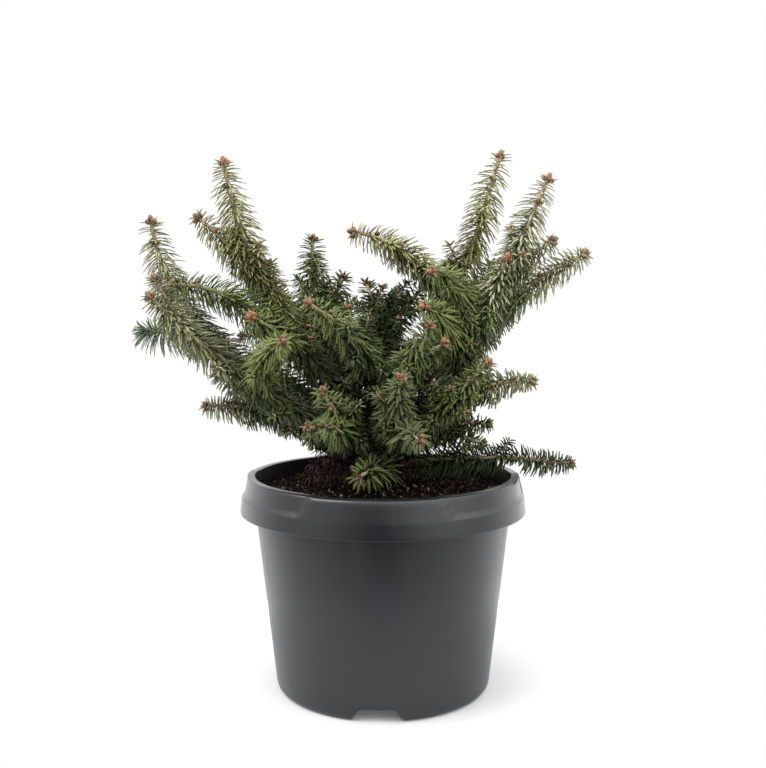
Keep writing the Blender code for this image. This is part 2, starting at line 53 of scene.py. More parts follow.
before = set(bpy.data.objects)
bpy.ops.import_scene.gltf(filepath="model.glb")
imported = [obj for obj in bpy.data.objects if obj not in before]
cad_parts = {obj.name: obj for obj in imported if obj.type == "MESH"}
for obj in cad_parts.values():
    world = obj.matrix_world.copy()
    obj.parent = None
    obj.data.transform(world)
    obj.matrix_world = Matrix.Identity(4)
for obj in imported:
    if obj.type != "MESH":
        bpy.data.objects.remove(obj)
CAD_BOX = [list(corner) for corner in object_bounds()]
NODES = sorted(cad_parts)
SPRAY_NODES = [name for name in NODES if name.startswith("spray_")]
LIMB_NODES = [name for name in NODES if name == "trunk" or name.startswith("bough_")]

# Sizes shared with the solid model
GAP = 0.0003
POT_HEIGHT = 0.173
WALL = 0.0018
BASE_RADIUS = 0.0864
BASE_CORNER = 0.0065
BODY_TAPER = 0.110
RIM_DROP = 0.029
RIM_RADIUS = 0.115
LIP_RADIUS = 0.110
LAND_RADIUS = 0.1048
BEAD = 0.0128  # height of the rim's lower band
FOOT = 0.014  # height of the wall that a channel notches
RECESS = 0.0016
PANEL_DIP = 0.0007
SECTORS = 3
TURN = -3.0
PANEL_HALF = 24.0
CHANNEL_HEIGHT = 0.0085
CHANNEL_HALF = 0.0125
CHANNEL_SLOPE = 0.0075
CHANNEL_START = 0.030
HOLE_RADIUS = 0.0045
HOLE_REACH = 0.062
SOIL_EDGE = 0.1605
SOIL_TOP = 0.1645
SOIL_FLAT = 0.038
SOIL_ROUGH = 0.0012
SOIL_FOOT = 0.150
SOIL_COLUMNS = 260
TRUNK_LEAN = (  # x, y, height above the foot, radius
    (-0.012, 0.004, 0.000, 0.0115),
    (-0.013, 0.004, 0.005, 0.0088),
    (-0.013, 0.004, 0.015, 0.0076),
    (-0.010, 0.007, 0.040, 0.0065),
    (-0.006, 0.010, 0.070, 0.0052),
    (-0.004, 0.012, 0.096, 0.0036),
)
BOUGH_SAG = 0.16
CORE_ROOT = 0.0021
LEADER_AIM = 0.42
SIDE_AIM = 0.45
SIDE_FOLLOW = 0.6
SEED = 12

# How the finer twigs and the needles grow
LEADER, SIDE, LATERAL, LIMB, DEAD = range(5)  # the orders of twigs: a limb's wood is the bark piece's
CROWN_X = -0.010
INNER_REACH = 0.118
DEEP_X = -0.008  # the middle of the shaded part of the crown, its reach and its top
DEEP_REACH = 0.052
DEEP_TOP = 0.29
LOW_REACH = 0.12  # twigs that end lower and further in than this are never pale
LOW_TOP = 0.34
GOLDEN_TURN = 137.5  # degrees from one lateral to the next
GOLDEN_ANGLE = 2.39996  # radians from one needle to the next
SIDE_GIRTH = (0.0019, 0.0016)
LATERAL_GIRTH = (0.0009, 0.0007)
LATERAL_STEP = 0.0066
LATERAL_LONG = 0.024
LATERAL_STRAY = 0.0165  # how far a lateral's tip may be from its spray's shoots
LATERAL_BARE = 0.036  # bare of laterals near a shoot's tip
LATERAL_APART = 0.0075
DEAD_GIRTH = (0.0018, 0.0007)
FORK_GIRTH = (0.0007, 0.0005)
FORK_LONG = 0.014
MIDDLE_REACH = 0.100  # the crown's middle, where laterals may stray further
MIDDLE_HEIGHT = 0.25
MIDDLE_HALF = 0.05
MIDDLE_STRAY = 1.3
LATERAL_APART_FROM = (0.005, 0.003, 0.009)  # other sprays' shoots, the limbs, the compost

# How a needle lies, by its distance from the shoot's tip
NEEDLE_LEAN = ((0, 0.004, 0.012, 0.030, 0.060, 0.110), (44, 60, 72, 80, 86, 90))  # degrees off the shoot
SWEPT_LEAN = ((0, 0.030, 0.110), (10, 13, 22))
FAN_LEAN = ((0, 0.024), (0.35, 1.0))
GROWTH_AT = (0, 0.006, 0.020, 0.045, 0.2)
GROWTH = (0.42, 0.56, 0.78, 0.98, 1.04)
FAN_GROWTH = (0.66, 0.76, 0.86, 0.98, 1.04)
SAG = ((0, 0.03), (0.1, 1.0))
SWEEP_BACK = ((0, 0.012, 0.05), (0.45, 0.9, 1.0))
CURL = ((0, 0.015), (0.6, 1.0))
OLD_AFTER = (0.014, 0.050)  # on laterals and on shoots
# Past these distances from the tip, on laterals and on shoots, a needle's whole upper side takes the foot
# skin: painted shade deep in the crown.
SHADE_PAINTED_AFTER = (0.024, 0.085)
LATERAL_SPACING = 1.45
FAN_SPACING = 0.62
CORE_CLEAR = 0.0013
LIMB_CLEAR = 0.0008
GROUND_CLEAR = 0.0012
OVERLAP = 0.009  # how far the needles of two sprays may reach into each other
EDGE = 0.004  # how far a needle may stand past the solids' box
SHORTEST = 0.0050
PIECE_NEEDLES = 8800  # keeps each piece under 200,000 triangles
TINTS = ("spring", "lush", "summer", "shade", "silver", "frost", "blue", "dead")
DEAD_TWIGS = (  # root height on the trunk, heading, reach, height of tip
    (0.178, 214, 0.052, 0.190), (0.174, 200, 0.060, 0.184), (0.170, 232, 0.047, 0.177),
    (0.188, 186, 0.050, 0.203), (0.169, 250, 0.042, 0.175), (0.182, 165, 0.046, 0.190),
    (0.176, 332, 0.036, 0.183), (0.172, 118, 0.046, 0.180), (0.184, 62, 0.042, 0.193),
    (0.180, 222, 0.040, 0.199), (0.173, 18, 0.040, 0.178), (0.171, 208, 0.066, 0.176),
    (0.186, 205, 0.056, 0.196), (0.177, 240, 0.036, 0.186),
)


class Shoot(NamedTuple):
    """Where a shoot ends, seen from the pot's axis, and how its middle bows away from a straight line."""

    heading: float
    reach: float
    height: float
    leaves_at: float = 0.0
    rise: float = 0.0
    spread: float = 0.0
    budded: bool = True


class Spray(NamedTuple):
    """One bough and the mass that it carries."""

    name: str
    root_height: float
    bough: Shoot | None
    girth: float
    leader: Shoot
    sides: tuple
    tint: str = "summer"
    needle: float = 0.9  # share of the longest needle's length
    tip: float = 1.0  # share of needles kept by the tips
    sweep: float = 0.0  # 0 where needles stand out like a star, 1 where they are swept back

    @property
    def hidden(self):
        """Whether it stands behind the others."""
        return self.name.startswith(("back", "crown"))


SPRAYS = (
    Spray("left_high", 0.236, Shoot(178, 0.050, 0.256), 0.0034, Shoot(176, 0.128, 0.423, 0, -0.014, 0.022),
          (Shoot(172, 0.153, 0.380, 0.46), Shoot(172, 0.096, 0.342, 0.26, 0.004)), "spring", 0.98, 0.6, 1.0),
    Spray("left_arch", 0.224, Shoot(192, 0.046, 0.246), 0.0030, Shoot(187, 0.166, 0.325, 0, 0.038, -0.012),
          (Shoot(204, 0.110, 0.300, 0.22),), "lush", 0.98, 1.0, 0.9),
    Spray("left_outer", 0.214, Shoot(166, 0.054, 0.236), 0.0034, Shoot(175, 0.189, 0.377, 0, -0.034, 0.054),
          (Shoot(180, 0.194, 0.288, 0.40, budded=False),), "silver", 1.0, 0.6, 1.0),
    Spray("left_reach", 0.203, Shoot(197, 0.044, 0.213), 0.0034, Shoot(193, 0.182, 0.316, 0, -0.012, 0.012),
          (Shoot(228, 0.108, 0.283, 0.34, 0.004), Shoot(190, 0.178, 0.330, 0.76)), "silver", 0.92, 1.0, 0.9),
    Spray("left_low", 0.190, Shoot(175, 0.040, 0.202), 0.0028, Shoot(176, 0.146, 0.226, 0, 0.017),
          (Shoot(168, 0.142, 0.252, 0.34), Shoot(208, 0.064, 0.207, 0.04, -0.004)), "silver", 0.84, 1.0, 0.5),
    Spray("back_left_high", 0.244, Shoot(144, 0.040, 0.264), 0.0028,
          Shoot(140, 0.077, 0.365, 0, -0.016, 0.026),
          (Shoot(116, 0.078, 0.333, 0.22),), "lush", 1.0, 0.9, 0.6),
    Spray("crown_top", 0.0, None, 0.0, Shoot(76, 0.052, 0.321),
          (Shoot(114, 0.034, 0.327, 0.20), Shoot(50, 0.054, 0.325, 0.12)), "summer", 0.84),
    Spray("front_upper", 0.248, Shoot(236, 0.018, 0.262), 0.0028, Shoot(227, 0.082, 0.311),
          (Shoot(228, 0.042, 0.308, 0.26),), "lush", 0.95, 1.0, 0.6),
    Spray("front_right", 0.236, Shoot(288, 0.022, 0.246), 0.0028, Shoot(296, 0.078, 0.295),
          (Shoot(313, 0.069, 0.281, 0.24),), "summer", 0.92, 0.8, 0.5),
    Spray("front_mid", 0.206, Shoot(277, 0.026, 0.206), 0.0028, Shoot(278, 0.096, 0.259, 0, -0.010),
          (Shoot(285, 0.104, 0.214, 0.22),), "shade", 0.92, 0.7, 0.25),
    Spray("front_left", 0.193, Shoot(228, 0.032, 0.203), 0.0028, Shoot(242, 0.096, 0.248),
          (Shoot(231, 0.090, 0.219, 0.15), Shoot(246, 0.099, 0.223, 0.28, -0.004)), "summer", 0.92, 0.6),
    Spray("front_low", 0.178, Shoot(276, 0.022, 0.182), 0.0024, Shoot(256, 0.077, 0.182, 0, 0.004),
          (), "summer", 0.98, 0.6),
    Spray("right_main", 0.206, Shoot(358, 0.052, 0.242), 0.0042, Shoot(0, 0.131, 0.409, 0, -0.008, 0.000),
          (Shoot(13, 0.174, 0.351, 0.24, 0.006), Shoot(6, 0.139, 0.361, 0.50),
           Shoot(309, 0.058, 0.334, 0.22, 0.024), Shoot(299, 0.062, 0.308, 0.10, 0.012),
           Shoot(352, 0.098, 0.346, 0.30)), "frost", 0.92, 0.65, 1.0),
    Spray("right_inner", 0.228, Shoot(16, 0.040, 0.264), 0.0034, Shoot(20, 0.103, 0.432, 0, -0.014, 0.001),
          (Shoot(149, 0.029, 0.368, 0.26, 0.014), Shoot(28, 0.062, 0.343, 0.24)), "spring", 0.94, 0.6, 1.0),
    Spray("right_mid", 0.192, Shoot(328, 0.030, 0.210), 0.0030, Shoot(331, 0.092, 0.266),
          (Shoot(0, 0.121, 0.248, 0.30, 0.010),), "silver", 0.76, 1.0, 0.6),
    Spray("right_low", 0.1855, Shoot(28, 0.030, 0.198), 0.0026, Shoot(24, 0.099, 0.208),
          (Shoot(29, 0.080, 0.220, 0.26), Shoot(19, 0.090, 0.192, 0.22)), "lush", 0.80, 1.0, 0.4),
    Spray("right_ground", 0.1765, Shoot(17, 0.026, 0.181), 0.0026, Shoot(7, 0.158, 0.1775, 0, 0.008),
          (), "summer", 0.78, 1.0, 0.5),
    Spray("back_left", 0.230, Shoot(128, 0.054, 0.248), 0.0034, Shoot(136, 0.138, 0.326),
          (Shoot(118, 0.130, 0.285, 0.26), Shoot(152, 0.140, 0.282, 0.30)), "summer", 0.9, 1.0, 0.5),
    Spray("back_centre", 0.208, Shoot(95, 0.046, 0.230), 0.0034, Shoot(93, 0.135, 0.316),
          (Shoot(76, 0.124, 0.272, 0.26), Shoot(107, 0.124, 0.262, 0.28)), "shade", 0.9, 1.0, 0.5),
    Spray("back_right", 0.219, Shoot(48, 0.046, 0.244), 0.0036, Shoot(44, 0.134, 0.345),
          (Shoot(32, 0.130, 0.298, 0.24), Shoot(62, 0.132, 0.306, 0.28)), "summer", 0.9, 1.0, 0.5),
    Spray("back_low_left", 0.200, Shoot(146, 0.044, 0.206), 0.0028, Shoot(146, 0.128, 0.222),
          (Shoot(130, 0.112, 0.212, 0.20),), "shade", 0.8, 1.0, 0.5),
    Spray("back_low", 0.186, Shoot(98, 0.044, 0.196), 0.0028, Shoot(100, 0.122, 0.208),
          (Shoot(84, 0.108, 0.222, 0.20),), "shade", 0.8, 1.0, 0.5),
    Spray("back_low_right", 0.196, Shoot(55, 0.040, 0.206), 0.0028, Shoot(52, 0.120, 0.220),
          (Shoot(38, 0.108, 0.238, 0.20),), "shade", 0.8, 1.0, 0.5),
)


def unit(v):
    return v / np.linalg.norm(v, axis=-1, keepdims=True)


def turned(radius, turn):
    """x and y at a distance from the axis and an angle round it."""
    return radius * np.cos(turn), radius * np.sin(turn)


def round_turns(count):
    """Even angles round a circle."""
    return np.linspace(0, 2 * math.pi, count, endpoint=False)


def crosswise(way, hint):
    """Two directions square to a way."""
    across = unit(np.cross(way, hint))
    return across, np.cross(way, across)


def outward(across, other, turn):
    """The direction at an angle between two square ones."""
    return across * np.cos(turn) + other * np.sin(turn)


def at_height(line, height):
    """Points of a rising line at these heights."""
    return np.stack([np.interp(height, line[:, 2], line[:, i]) for i in range(3)], axis=-1)


def crown_reach(points):
    """Distance from the crown's upright axis."""
    return np.hypot(points[..., 0] - CROWN_X, points[..., 1])


def place(shoot):
    return np.array([*turned(shoot.reach, math.radians(shoot.heading)), shoot.height])


def bow(shoot):
    return np.array([*turned(shoot.spread, math.radians(shoot.heading)), shoot.rise])


class Path:
    """A quadratic curve from a root, by a middle point, to a tip."""

    def __init__(self, root, middle, tip):
        self.points = np.array([root, middle, tip], float)
        fine = self.at(np.linspace(0, 1, 33))
        self.length = float(np.linalg.norm(np.diff(fine, axis=0), axis=1).sum())

    def at(self, t):
        t = np.asarray(t, float)[..., None]
        a, b, c = self.points
        return (1 - t) ** 2 * a + 2 * t * (1 - t) * b + t**2 * c

    def along(self, t):
        t = np.asarray(t, float)[..., None]
        a, b, c = self.points
        return unit(2 * (1 - t) * (b - a) + 2 * t * (c - b))

    def pieces(self, step=0.004):
        line = self.at(np.linspace(0, 1, max(3, int(self.length / step))))
        return np.stack([line[:-1], line[1:]], axis=1)


def trunk_line():
    foot = SOIL_TOP + GAP
    return np.array([(x, y, foot + rise) for x, y, rise, _ in TRUNK_LEAN])


def trunk_radii():
    return np.array([row[3] for row in TRUNK_LEAN])


def bough_path(spray):
    root, tip = at_height(trunk_line(), spray.root_height), place(spray.bough)
    middle = (root + tip) / 2
    middle[2] -= BOUGH_SAG * np.linalg.norm(tip - root)
    return Path(root, middle, tip)


def leader_path(spray, bough):
    if bough:
        root, way = bough.points[2], bough.along(1.0)
    else:
        line = trunk_line()
        root, way = line[-1], unit(line[-1] - line[-2])
    tip = place(spray.leader)
    if spray.leader.rise or spray.leader.spread:
        return Path(root, (root + tip) / 2 + bow(spray.leader), tip)
    return Path(root, root + way * LEADER_AIM * np.linalg.norm(tip - root), tip)


def side_path(leader, side):
    root, tip = leader.at(side.leaves_at), place(side)
    way = unit(unit(tip - root) + SIDE_FOLLOW * leader.along(side.leaves_at))
    return Path(root, root + way * SIDE_AIM * np.linalg.norm(tip - root) + bow(side), tip)


def distances(points, pieces, chunk=4000):
    """The distance from each point to each straight piece, a block of points at a time."""
    a, d = pieces[:, 0], pieces[:, 1] - pieces[:, 0]
    long = np.maximum((d * d).sum(-1), 1e-12)
    for start in range(0, len(points), chunk):
        away = points[start:start + chunk, None] - a
        t = np.clip((away * d).sum(-1) / long, 0, 1)
        yield start, np.sqrt(((away - t[..., None] * d) ** 2).sum(-1))


class Twig(NamedTuple):
    """A grown twig: its spray, curve, thickness at both ends and order."""

    spray: int
    path: Path
    root_radius: float
    tip_radius: float
    order: int
    budded: bool = True

    def radius(self, share):
        return self.root_radius + (self.tip_radius - self.root_radius) * share


class Crown:
    """The limbs, shoots and finer twigs of the whole plant."""

    def __init__(self):
        self.random = np.random.default_rng(SEED)
        self.boughs = {s.name: bough_path(s) for s in SPRAYS if s.bough}
        self.twigs = []
        for index, spray in enumerate(SPRAYS):
            bough = self.boughs.get(spray.name)
            leader = leader_path(spray, bough)
            self.twigs.append(Twig(index, leader, CORE_ROOT, 0.0012 + 0.0006 * spray.sweep, LEADER))
            if bough:
                self.twigs.append(Twig(index, bough, spray.girth, CORE_ROOT, LIMB))
            else:
                line = trunk_line()
                top = Path(line[-2], (line[-2] + line[-1]) / 2, line[-1])
                self.twigs.append(Twig(index, top, TRUNK_LEAN[-2][3], TRUNK_LEAN[-1][3], LIMB))
            for side in spray.sides:
                self.twigs.append(Twig(index, side_path(leader, side), *SIDE_GIRTH, SIDE, side.budded))
        self.limbs()
        self.index_shoots()
        self.grow_laterals()
        self.grow_dead()
        self.index_shoots()

    def limbs(self):
        line, radii = trunk_line(), trunk_radii()
        pieces, girth = [np.stack([line[:-1], line[1:]], axis=1)], [radii[:-1]]
        for spray in SPRAYS:
            if spray.bough:
                found = self.boughs[spray.name].pieces()
                pieces.append(found)
                girth.append(np.linspace(spray.girth, CORE_ROOT, len(found)))
        self.limb_pieces, self.limb_girth = np.concatenate(pieces), np.concatenate(girth)

    def index_shoots(self):
        found = [twig.path.pieces(0.006) for twig in self.twigs]
        counts = [len(p) for p in found]
        self.shoot_pieces = np.concatenate(found)
        self.owner = np.repeat(np.arange(len(found)), counts)
        self.starts = np.concatenate([[0], np.cumsum(counts)[:-1]])
        self.spray_of = np.array([twig.spray for twig in self.twigs])

    def grow_laterals(self):
        """Short twigs on the inner parts of the shoots, kept to their own spray's space."""
        wanted = []
        for twig in self.twigs:
            length, along = twig.path.length, 0.012
            turn = self.random.uniform(0, 360)
            bare = LATERAL_BARE * (0.6 if SPRAYS[twig.spray].hidden else 1.0)
            bare = 0.004 if twig.order == LIMB else bare
            while along < length - bare:
                root, way = twig.path.at(along / length), twig.path.along(along / length)
                long = LATERAL_LONG * self.random.uniform(0.75, 1.1)
                angle = math.radians(self.random.uniform(42, 60))
                turn += GOLDEN_TURN
                if crown_reach(root) < INNER_REACH:
                    out = outward(*crosswise(way, [0.2, 0.1, 1.0]), math.radians(turn))
                    aim = unit(way * math.cos(angle) + out * math.sin(angle))
                    tip = root + aim * long + np.array([0, 0, 0.12 * long])
                    path = Path(root, root + aim * long * 0.5, tip)
                    wanted.append(Twig(twig.spray, path, *LATERAL_GIRTH, LATERAL))
                along += LATERAL_STEP * self.random.uniform(0.8, 1.25)
        kept = []
        for twig, good in zip(wanted, self.clear_of_others(wanted)):
            tip = twig.path.at(0.8)
            if good and all(np.linalg.norm(tip - other) > LATERAL_APART for other in kept):
                kept.append(tip)
                self.twigs.append(twig)

    def clear_of_others(self, wanted):
        """Which laterals stay in their own spray's space, off the limbs and above the compost."""
        points = np.array([twig.path.at([0.6, 1.0]) for twig in wanted]).reshape(-1, 3)
        spray = np.repeat([twig.spray for twig in wanted], 2)
        mine, theirs, _, limbs = self.nearness(points, spray, by_spray=True)
        inside = (crown_reach(points) < MIDDLE_REACH) & (np.abs(points[:, 2] - MIDDLE_HEIGHT) < MIDDLE_HALF)
        inside |= np.array([s.hidden for s in SPRAYS])[spray]
        shoots_apart, limbs_apart, ground_apart = LATERAL_APART_FROM
        ok = (theirs - mine > -0.004) & (theirs > shoots_apart) & (limbs > limbs_apart)
        ok &= points[:, 2] > ground(points) + ground_apart
        ok &= mine < np.where(inside, MIDDLE_STRAY, 1.0) * LATERAL_STRAY
        ok &= np.hypot(points[:, 0], points[:, 1]) < INNER_REACH + 0.02
        return ok.reshape(-1, 2).all(axis=1)

    def grow_dead(self):
        """Bare and browned twigs low on the trunk, each with a fork."""
        home = [s.name for s in SPRAYS].index("front_low")
        for height, heading, reach, top in DEAD_TWIGS:
            root, tip = at_height(trunk_line(), height), place(Shoot(heading, reach, top))
            path = Path(root, (root + tip) / 2 + self.random.normal(0, 0.003, 3), tip)
            start = path.at(0.55)
            fork = unit(path.along(0.55) + self.random.normal(0, 0.5, 3)) * FORK_LONG
            fork[2] = abs(fork[2])
            self.twigs.append(Twig(home, path, *DEAD_GIRTH, DEAD))
            self.twigs.append(Twig(home, Path(start, start + fork * 0.5, start + fork), *FORK_GIRTH, DEAD))

    def nearness(self, points, owner, by_spray=False):
        """Least distance to own shoots, to those of others, to any other twig's core, and to the limbs."""
        mine, theirs, core, limbs = np.empty((4, len(points)))
        sprays = self.spray_of[self.owner]
        order = np.argsort(sprays, kind="stable")
        first = np.searchsorted(sprays[order], np.arange(len(SPRAYS)))
        for start, found in distances(points, self.shoot_pieces):
            block, rows = slice(start, start + len(found)), np.arange(len(found))
            per_spray = np.minimum.reduceat(found[:, order], first, axis=1)
            home = owner[block] if by_spray else self.spray_of[owner[block]]
            mine[block] = per_spray[rows, home]
            per_spray[rows, home] = np.inf
            theirs[block] = per_spray.min(axis=1)
            if not by_spray:
                per_twig = np.minimum.reduceat(found, self.starts, axis=1)
                per_twig[rows, owner[block]] = np.inf
                core[block] = per_twig.min(axis=1)
        for start, found in distances(points, self.limb_pieces):
            limbs[start:start + len(found)] = (found - self.limb_girth).min(axis=1)
        return mine, theirs, core, limbs


def ground(points):
    """The height of the compost or the pot's rim under each point."""
    radius = np.hypot(points[:, 0], points[:, 1])
    over_rim = (radius > LAND_RADIUS - 0.004) & (radius < RIM_RADIUS + 0.001)
    return np.where(over_rim, POT_HEIGHT + 0.002, np.where(radius < RIM_RADIUS, SOIL_TOP - 0.001, 0.0))


@functools.cache
def crown():
    return Crown()


# Settings
def length(name, description, default):
    return FloatProperty(
        name=name, description=description, default=default, min=0.0, unit="LENGTH", precision=4
    )


def tone(name, description, default):
    return FloatVectorProperty(
        name=name, description=description, default=default, size=3, min=0.0, max=1.0, subtype="COLOR"
    )


class FirPotSettings(bpy.types.PropertyGroup):
    """The nursery pot's plastic."""

    columns: IntProperty(name="Columns", description="Faces round the pot", default=216, min=48)
    colour: tone("Plastic", "Colour of the moulded plastic", (0.0120, 0.0128, 0.0158))
    grain: length("Grain", "Size of the moulded surface's fine grain", 0.0006)


class FirSoilSettings(bpy.types.PropertyGroup):
    """The compost's surface."""

    rings: IntProperty(name="Rings", description="Rings of points from middle to wall", default=110, min=20)
    crumbs: IntProperty(name="Crumbs", description="Loose crumbs lying on the compost", default=3400, min=0)
    litter: IntProperty(name="Litter", description="Shed needles lying on the compost", default=36, min=0)
    colour: tone("Peat", "Colour of the moist peat", (0.0034, 0.0021, 0.0014))
    fibre: tone("Fibre", "Colour of the lighter fibres and crumbs", (0.030, 0.0195, 0.0150))


class FirBarkSettings(bpy.types.PropertyGroup):
    """The bark of the trunk, boughs and twigs."""

    relief: length("Relief", "Height of the bark's ridges and blisters", 0.00055)
    colour: tone("Bark", "Colour of the older bark", (0.085, 0.050, 0.034))
    ridge: tone("Ridges", "Colour of the bark's raised parts", (0.190, 0.130, 0.090))
    young: tone("Young bark", "Colour of the young twigs", (0.500, 0.400, 0.225))
    bud: tone("Buds", "Colour of the resinous buds", (0.390, 0.172, 0.078))


class FirNeedleSettings(bpy.types.PropertyGroup):
    """The needles' size, number and greens."""

    long: length("Length", "Length of the longest needles", 0.0195)
    wide: length("Width", "Width of a full-grown needle", 0.00172)
    spacing: length("Spacing", "Distance along a shoot from one needle to the next", 0.00033)
    spring: tone("Spring green", "Needles on the sunlit outer shoots", (0.300, 0.300, 0.112))
    lush: tone("Lush green", "Needles on the full middle shoots", (0.096, 0.132, 0.032))
    summer: tone("Summer green", "Needles on the lower shoots", (0.044, 0.074, 0.015))
    shade: tone("Shade green", "Needles deep in the crown", (0.024, 0.042, 0.011))
    silver: tone("Blue green", "Needles with a waxy bloom", (0.285, 0.295, 0.160))
    frost: tone("Frosted green", "Needles on the palest outer shoots", (0.380, 0.395, 0.235))
    blue: tone("Blue", "Needles with the bluest bloom", (0.165, 0.225, 0.155))
    dead: tone("Dead brown", "Needles browned on the lowest twigs", (0.026, 0.011, 0.007))


class FirStageSettings(bpy.types.PropertyGroup):
    """The studio round the plant."""

    floor: tone("Floor", "Colour of the lit floor panel", (0.62, 0.62, 0.62))
    panel: FloatProperty(name="Panel", description="Glow of the floor under the pot", default=0.08, min=0.0)
    tent: FloatProperty(name="Tent", description="Brightness of the tent's walls", default=1.0, min=0.0)
    key: FloatProperty(name="Key", description="Strength of the soft key light", default=2.0, min=0.0)


# Finishes
class Value:
    """A shader socket that can take part in Python arithmetic."""

    def __init__(self, nodes, socket):
        self.nodes = nodes
        self.socket = socket

    def step(self, operation, other):
        return self.nodes.add("ShaderNodeMath", {"operation": operation}, {0: self, 1: other})

    def __add__(self, other):
        return self.step("ADD", other)

    def __mul__(self, other):
        return self.step("MULTIPLY", other)

    __radd__ = __add__
    __rmul__ = __mul__


class Nodes:
    """A node tree under construction."""

    def __init__(self, owner):
        owner.use_nodes = True
        self.tree = owner.node_tree

    def link(self, value, socket):
        self.tree.links.new(value.socket, socket)

    def add(self, kind, settings, inputs, output=0):
        """Adds one node: its settings first, then the value or link of each socket."""
        node = self.tree.nodes.new(kind)
        for key, value in settings.items():
            if key == "stops":
                for stop, (position, grey) in zip(node.color_ramp.elements, value):
                    stop.position = position
                    stop.color = (grey, grey, grey, 1)
            else:
                setattr(node, key, value)
        for key, value in inputs.items():
            if isinstance(value, Value):
                self.link(value, node.inputs[key])
            else:
                node.inputs[key].default_value = value
        return Value(self, node.outputs[output])


class Finish(Nodes):
    """A material round one Principled shader."""

    def __init__(self, name, specular, **constants):
        self.material = bpy.data.materials.new(name)
        super().__init__(self.material)
        self.shader = self.tree.nodes["Principled BSDF"]
        self.shader.inputs["Specular IOR Level"].default_value = specular
        for key, value in constants.items():
            self.shader.inputs[key.replace("_", " ")].default_value = value

    def place(self, stretch=(1, 1, 1)):
        """Object coordinates, stretched along each axis."""
        where = self.add("ShaderNodeTexCoord", {}, {}, "Object")
        return self.add("ShaderNodeVectorMath", {"operation": "MULTIPLY"}, {0: where, 1: stretch})

    def speckle(self, size, detail=3.0, stretch=(1, 1, 1)):
        spread = {"Vector": self.place(stretch), "Scale": 1 / size, "Detail": detail}
        return self.add("ShaderNodeTexNoise", {}, spread)

    def cells(self, size, stretch=(1, 1, 1)):
        return self.add("ShaderNodeTexVoronoi", {}, {"Vector": self.place(stretch), "Scale": 1 / size})

    def ramp(self, value, low, high):
        """Spreads a value between low and high over 0 to 1."""
        return self.add("ShaderNodeValToRGB", {"stops": ((low, 0.0), (high, 1.0))}, {"Fac": value})

    def blend(self, share, first, second):
        """A colour between two colours."""
        first, second = (c if isinstance(c, Value) else (*c, 1.0) for c in (first, second))
        return self.add("ShaderNodeMix", {"data_type": "RGBA"}, {0: share, 6: first, 7: second}, 2)

    def feed(self, **values):
        for key, value in values.items():
            self.link(value, self.shader.inputs[key.replace("_", " ")])

    def done(self, colour, roughness, relief, depth, strength):
        """Feeds the colour, the roughness and the relief, and gives the material."""
        bumped = self.add("ShaderNodeBump", {}, {"Height": relief, "Distance": depth, "Strength": strength})
        self.feed(Base_Color=colour, Roughness=roughness, Normal=bumped)
        return self.material


def scaled(colour, amount):
    return tuple(min(1.0, c * amount) for c in colour)


def toward(colour, other, share):
    return tuple(c + (o - c) * share for c, o in zip(colour, other))


def plastic(name="pot_plastic", shade=1.0, gloss=0.5):
    """Moulded plastic, a little clouded, streaked and dusty."""
    pot = bpy.context.scene.fir_pot
    made = Finish(name, gloss)
    cloud = made.speckle(0.055, 4.0)
    streak = made.speckle(0.012, 5.0, (1, 1, 0.12))
    fine = made.speckle(pot.grain, 2.0)
    # A shade below 1 darkens every tone of the plastic: painted shade, on the inner wall and on the rim.
    dark, light, worn = (scaled(pot.colour, amount * shade) for amount in (0.92, 1.12, 2.4))
    dust = made.ramp(streak, 0.56, 0.78) * 0.16
    colour = made.blend(dust, made.blend(made.ramp(cloud, 0.35, 0.7), dark, light), worn)
    roughness = 0.66 - 0.74 * gloss + cloud * 0.12 + dust * 0.5
    return made.done(colour, roughness, fine * 0.6 + streak * 0.4, 0.00012, 0.5)


def peat():
    soil = bpy.context.scene.fir_soil
    made = Finish("compost", 0.03)
    clods = made.cells(0.0034)
    fine = made.speckle(0.0016, 6.0)
    base = made.blend(made.ramp(fine, 0.38, 0.66), scaled(soil.colour, 0.55), scaled(soil.colour, 1.9))
    pale = made.ramp(made.speckle(0.0042, 5.0, (1, 0.6, 1)), 0.60, 0.70) * 0.7
    return made.done(made.blend(pale, base, soil.fibre), 0.86 + fine * 0.14, fine + clods * 0.5, 0.0009, 0.9)


def crumb(name, colour):
    made = Finish(name, 0.08)
    fine = made.speckle(0.0011, 5.0)
    base = made.blend(made.ramp(fine, 0.3, 0.7), scaled(colour, 0.6), scaled(colour, 1.5))
    return made.done(base, 0.82 + fine * 0.15, fine, 0.0004, 0.8)


def bark():
    tones = bpy.context.scene.fir_bark
    made = Finish("bark", 0.35)
    streaks = made.speckle(0.0035, 5.0, (1, 1, 0.35))
    flakes = made.cells(0.0022, (1, 1, 0.5))
    base = made.blend(made.ramp(streaks, 0.36, 0.66), tones.colour, tones.ridge)
    colour = made.blend(made.ramp(flakes, 0.1, 0.75) * 0.5, scaled(tones.colour, 0.5), base)
    return made.done(colour, 0.66 + streaks * 0.25, streaks + flakes * 0.6, 0.0005, 0.9)


def young_bark():
    young = bpy.context.scene.fir_bark.young
    made = Finish("twig_bark", 0.4)
    bands = made.speckle(0.004, 4.0)
    colour = made.blend(made.ramp(bands, 0.35, 0.65), scaled(young, 0.55), young)
    return made.done(colour, 0.5 + bands * 0.3, made.speckle(0.0009, 3.0), 0.0002, 0.6)


def resin_bud():
    """Bud scales that drift from brown to red, under a thin coat of resin."""
    bud = bpy.context.scene.fir_bark.bud
    made = Finish("bud_scales", 0.5, Coat_Weight=0.35, Coat_Roughness=0.25)
    scales = made.cells(0.0011)
    brown = toward(scaled(bud, 0.32), (0.10, 0.07, 0.05), 0.3)
    skin = made.blend(made.ramp(made.speckle(0.020, 2.0), 0.38, 0.62), brown, bud)
    colour = made.blend(made.ramp(scales, 0.15, 0.7), scaled(bud, 0.35), skin)
    return made.done(colour, 0.38 + scales * 0.2, scales, 0.0003, 0.8)


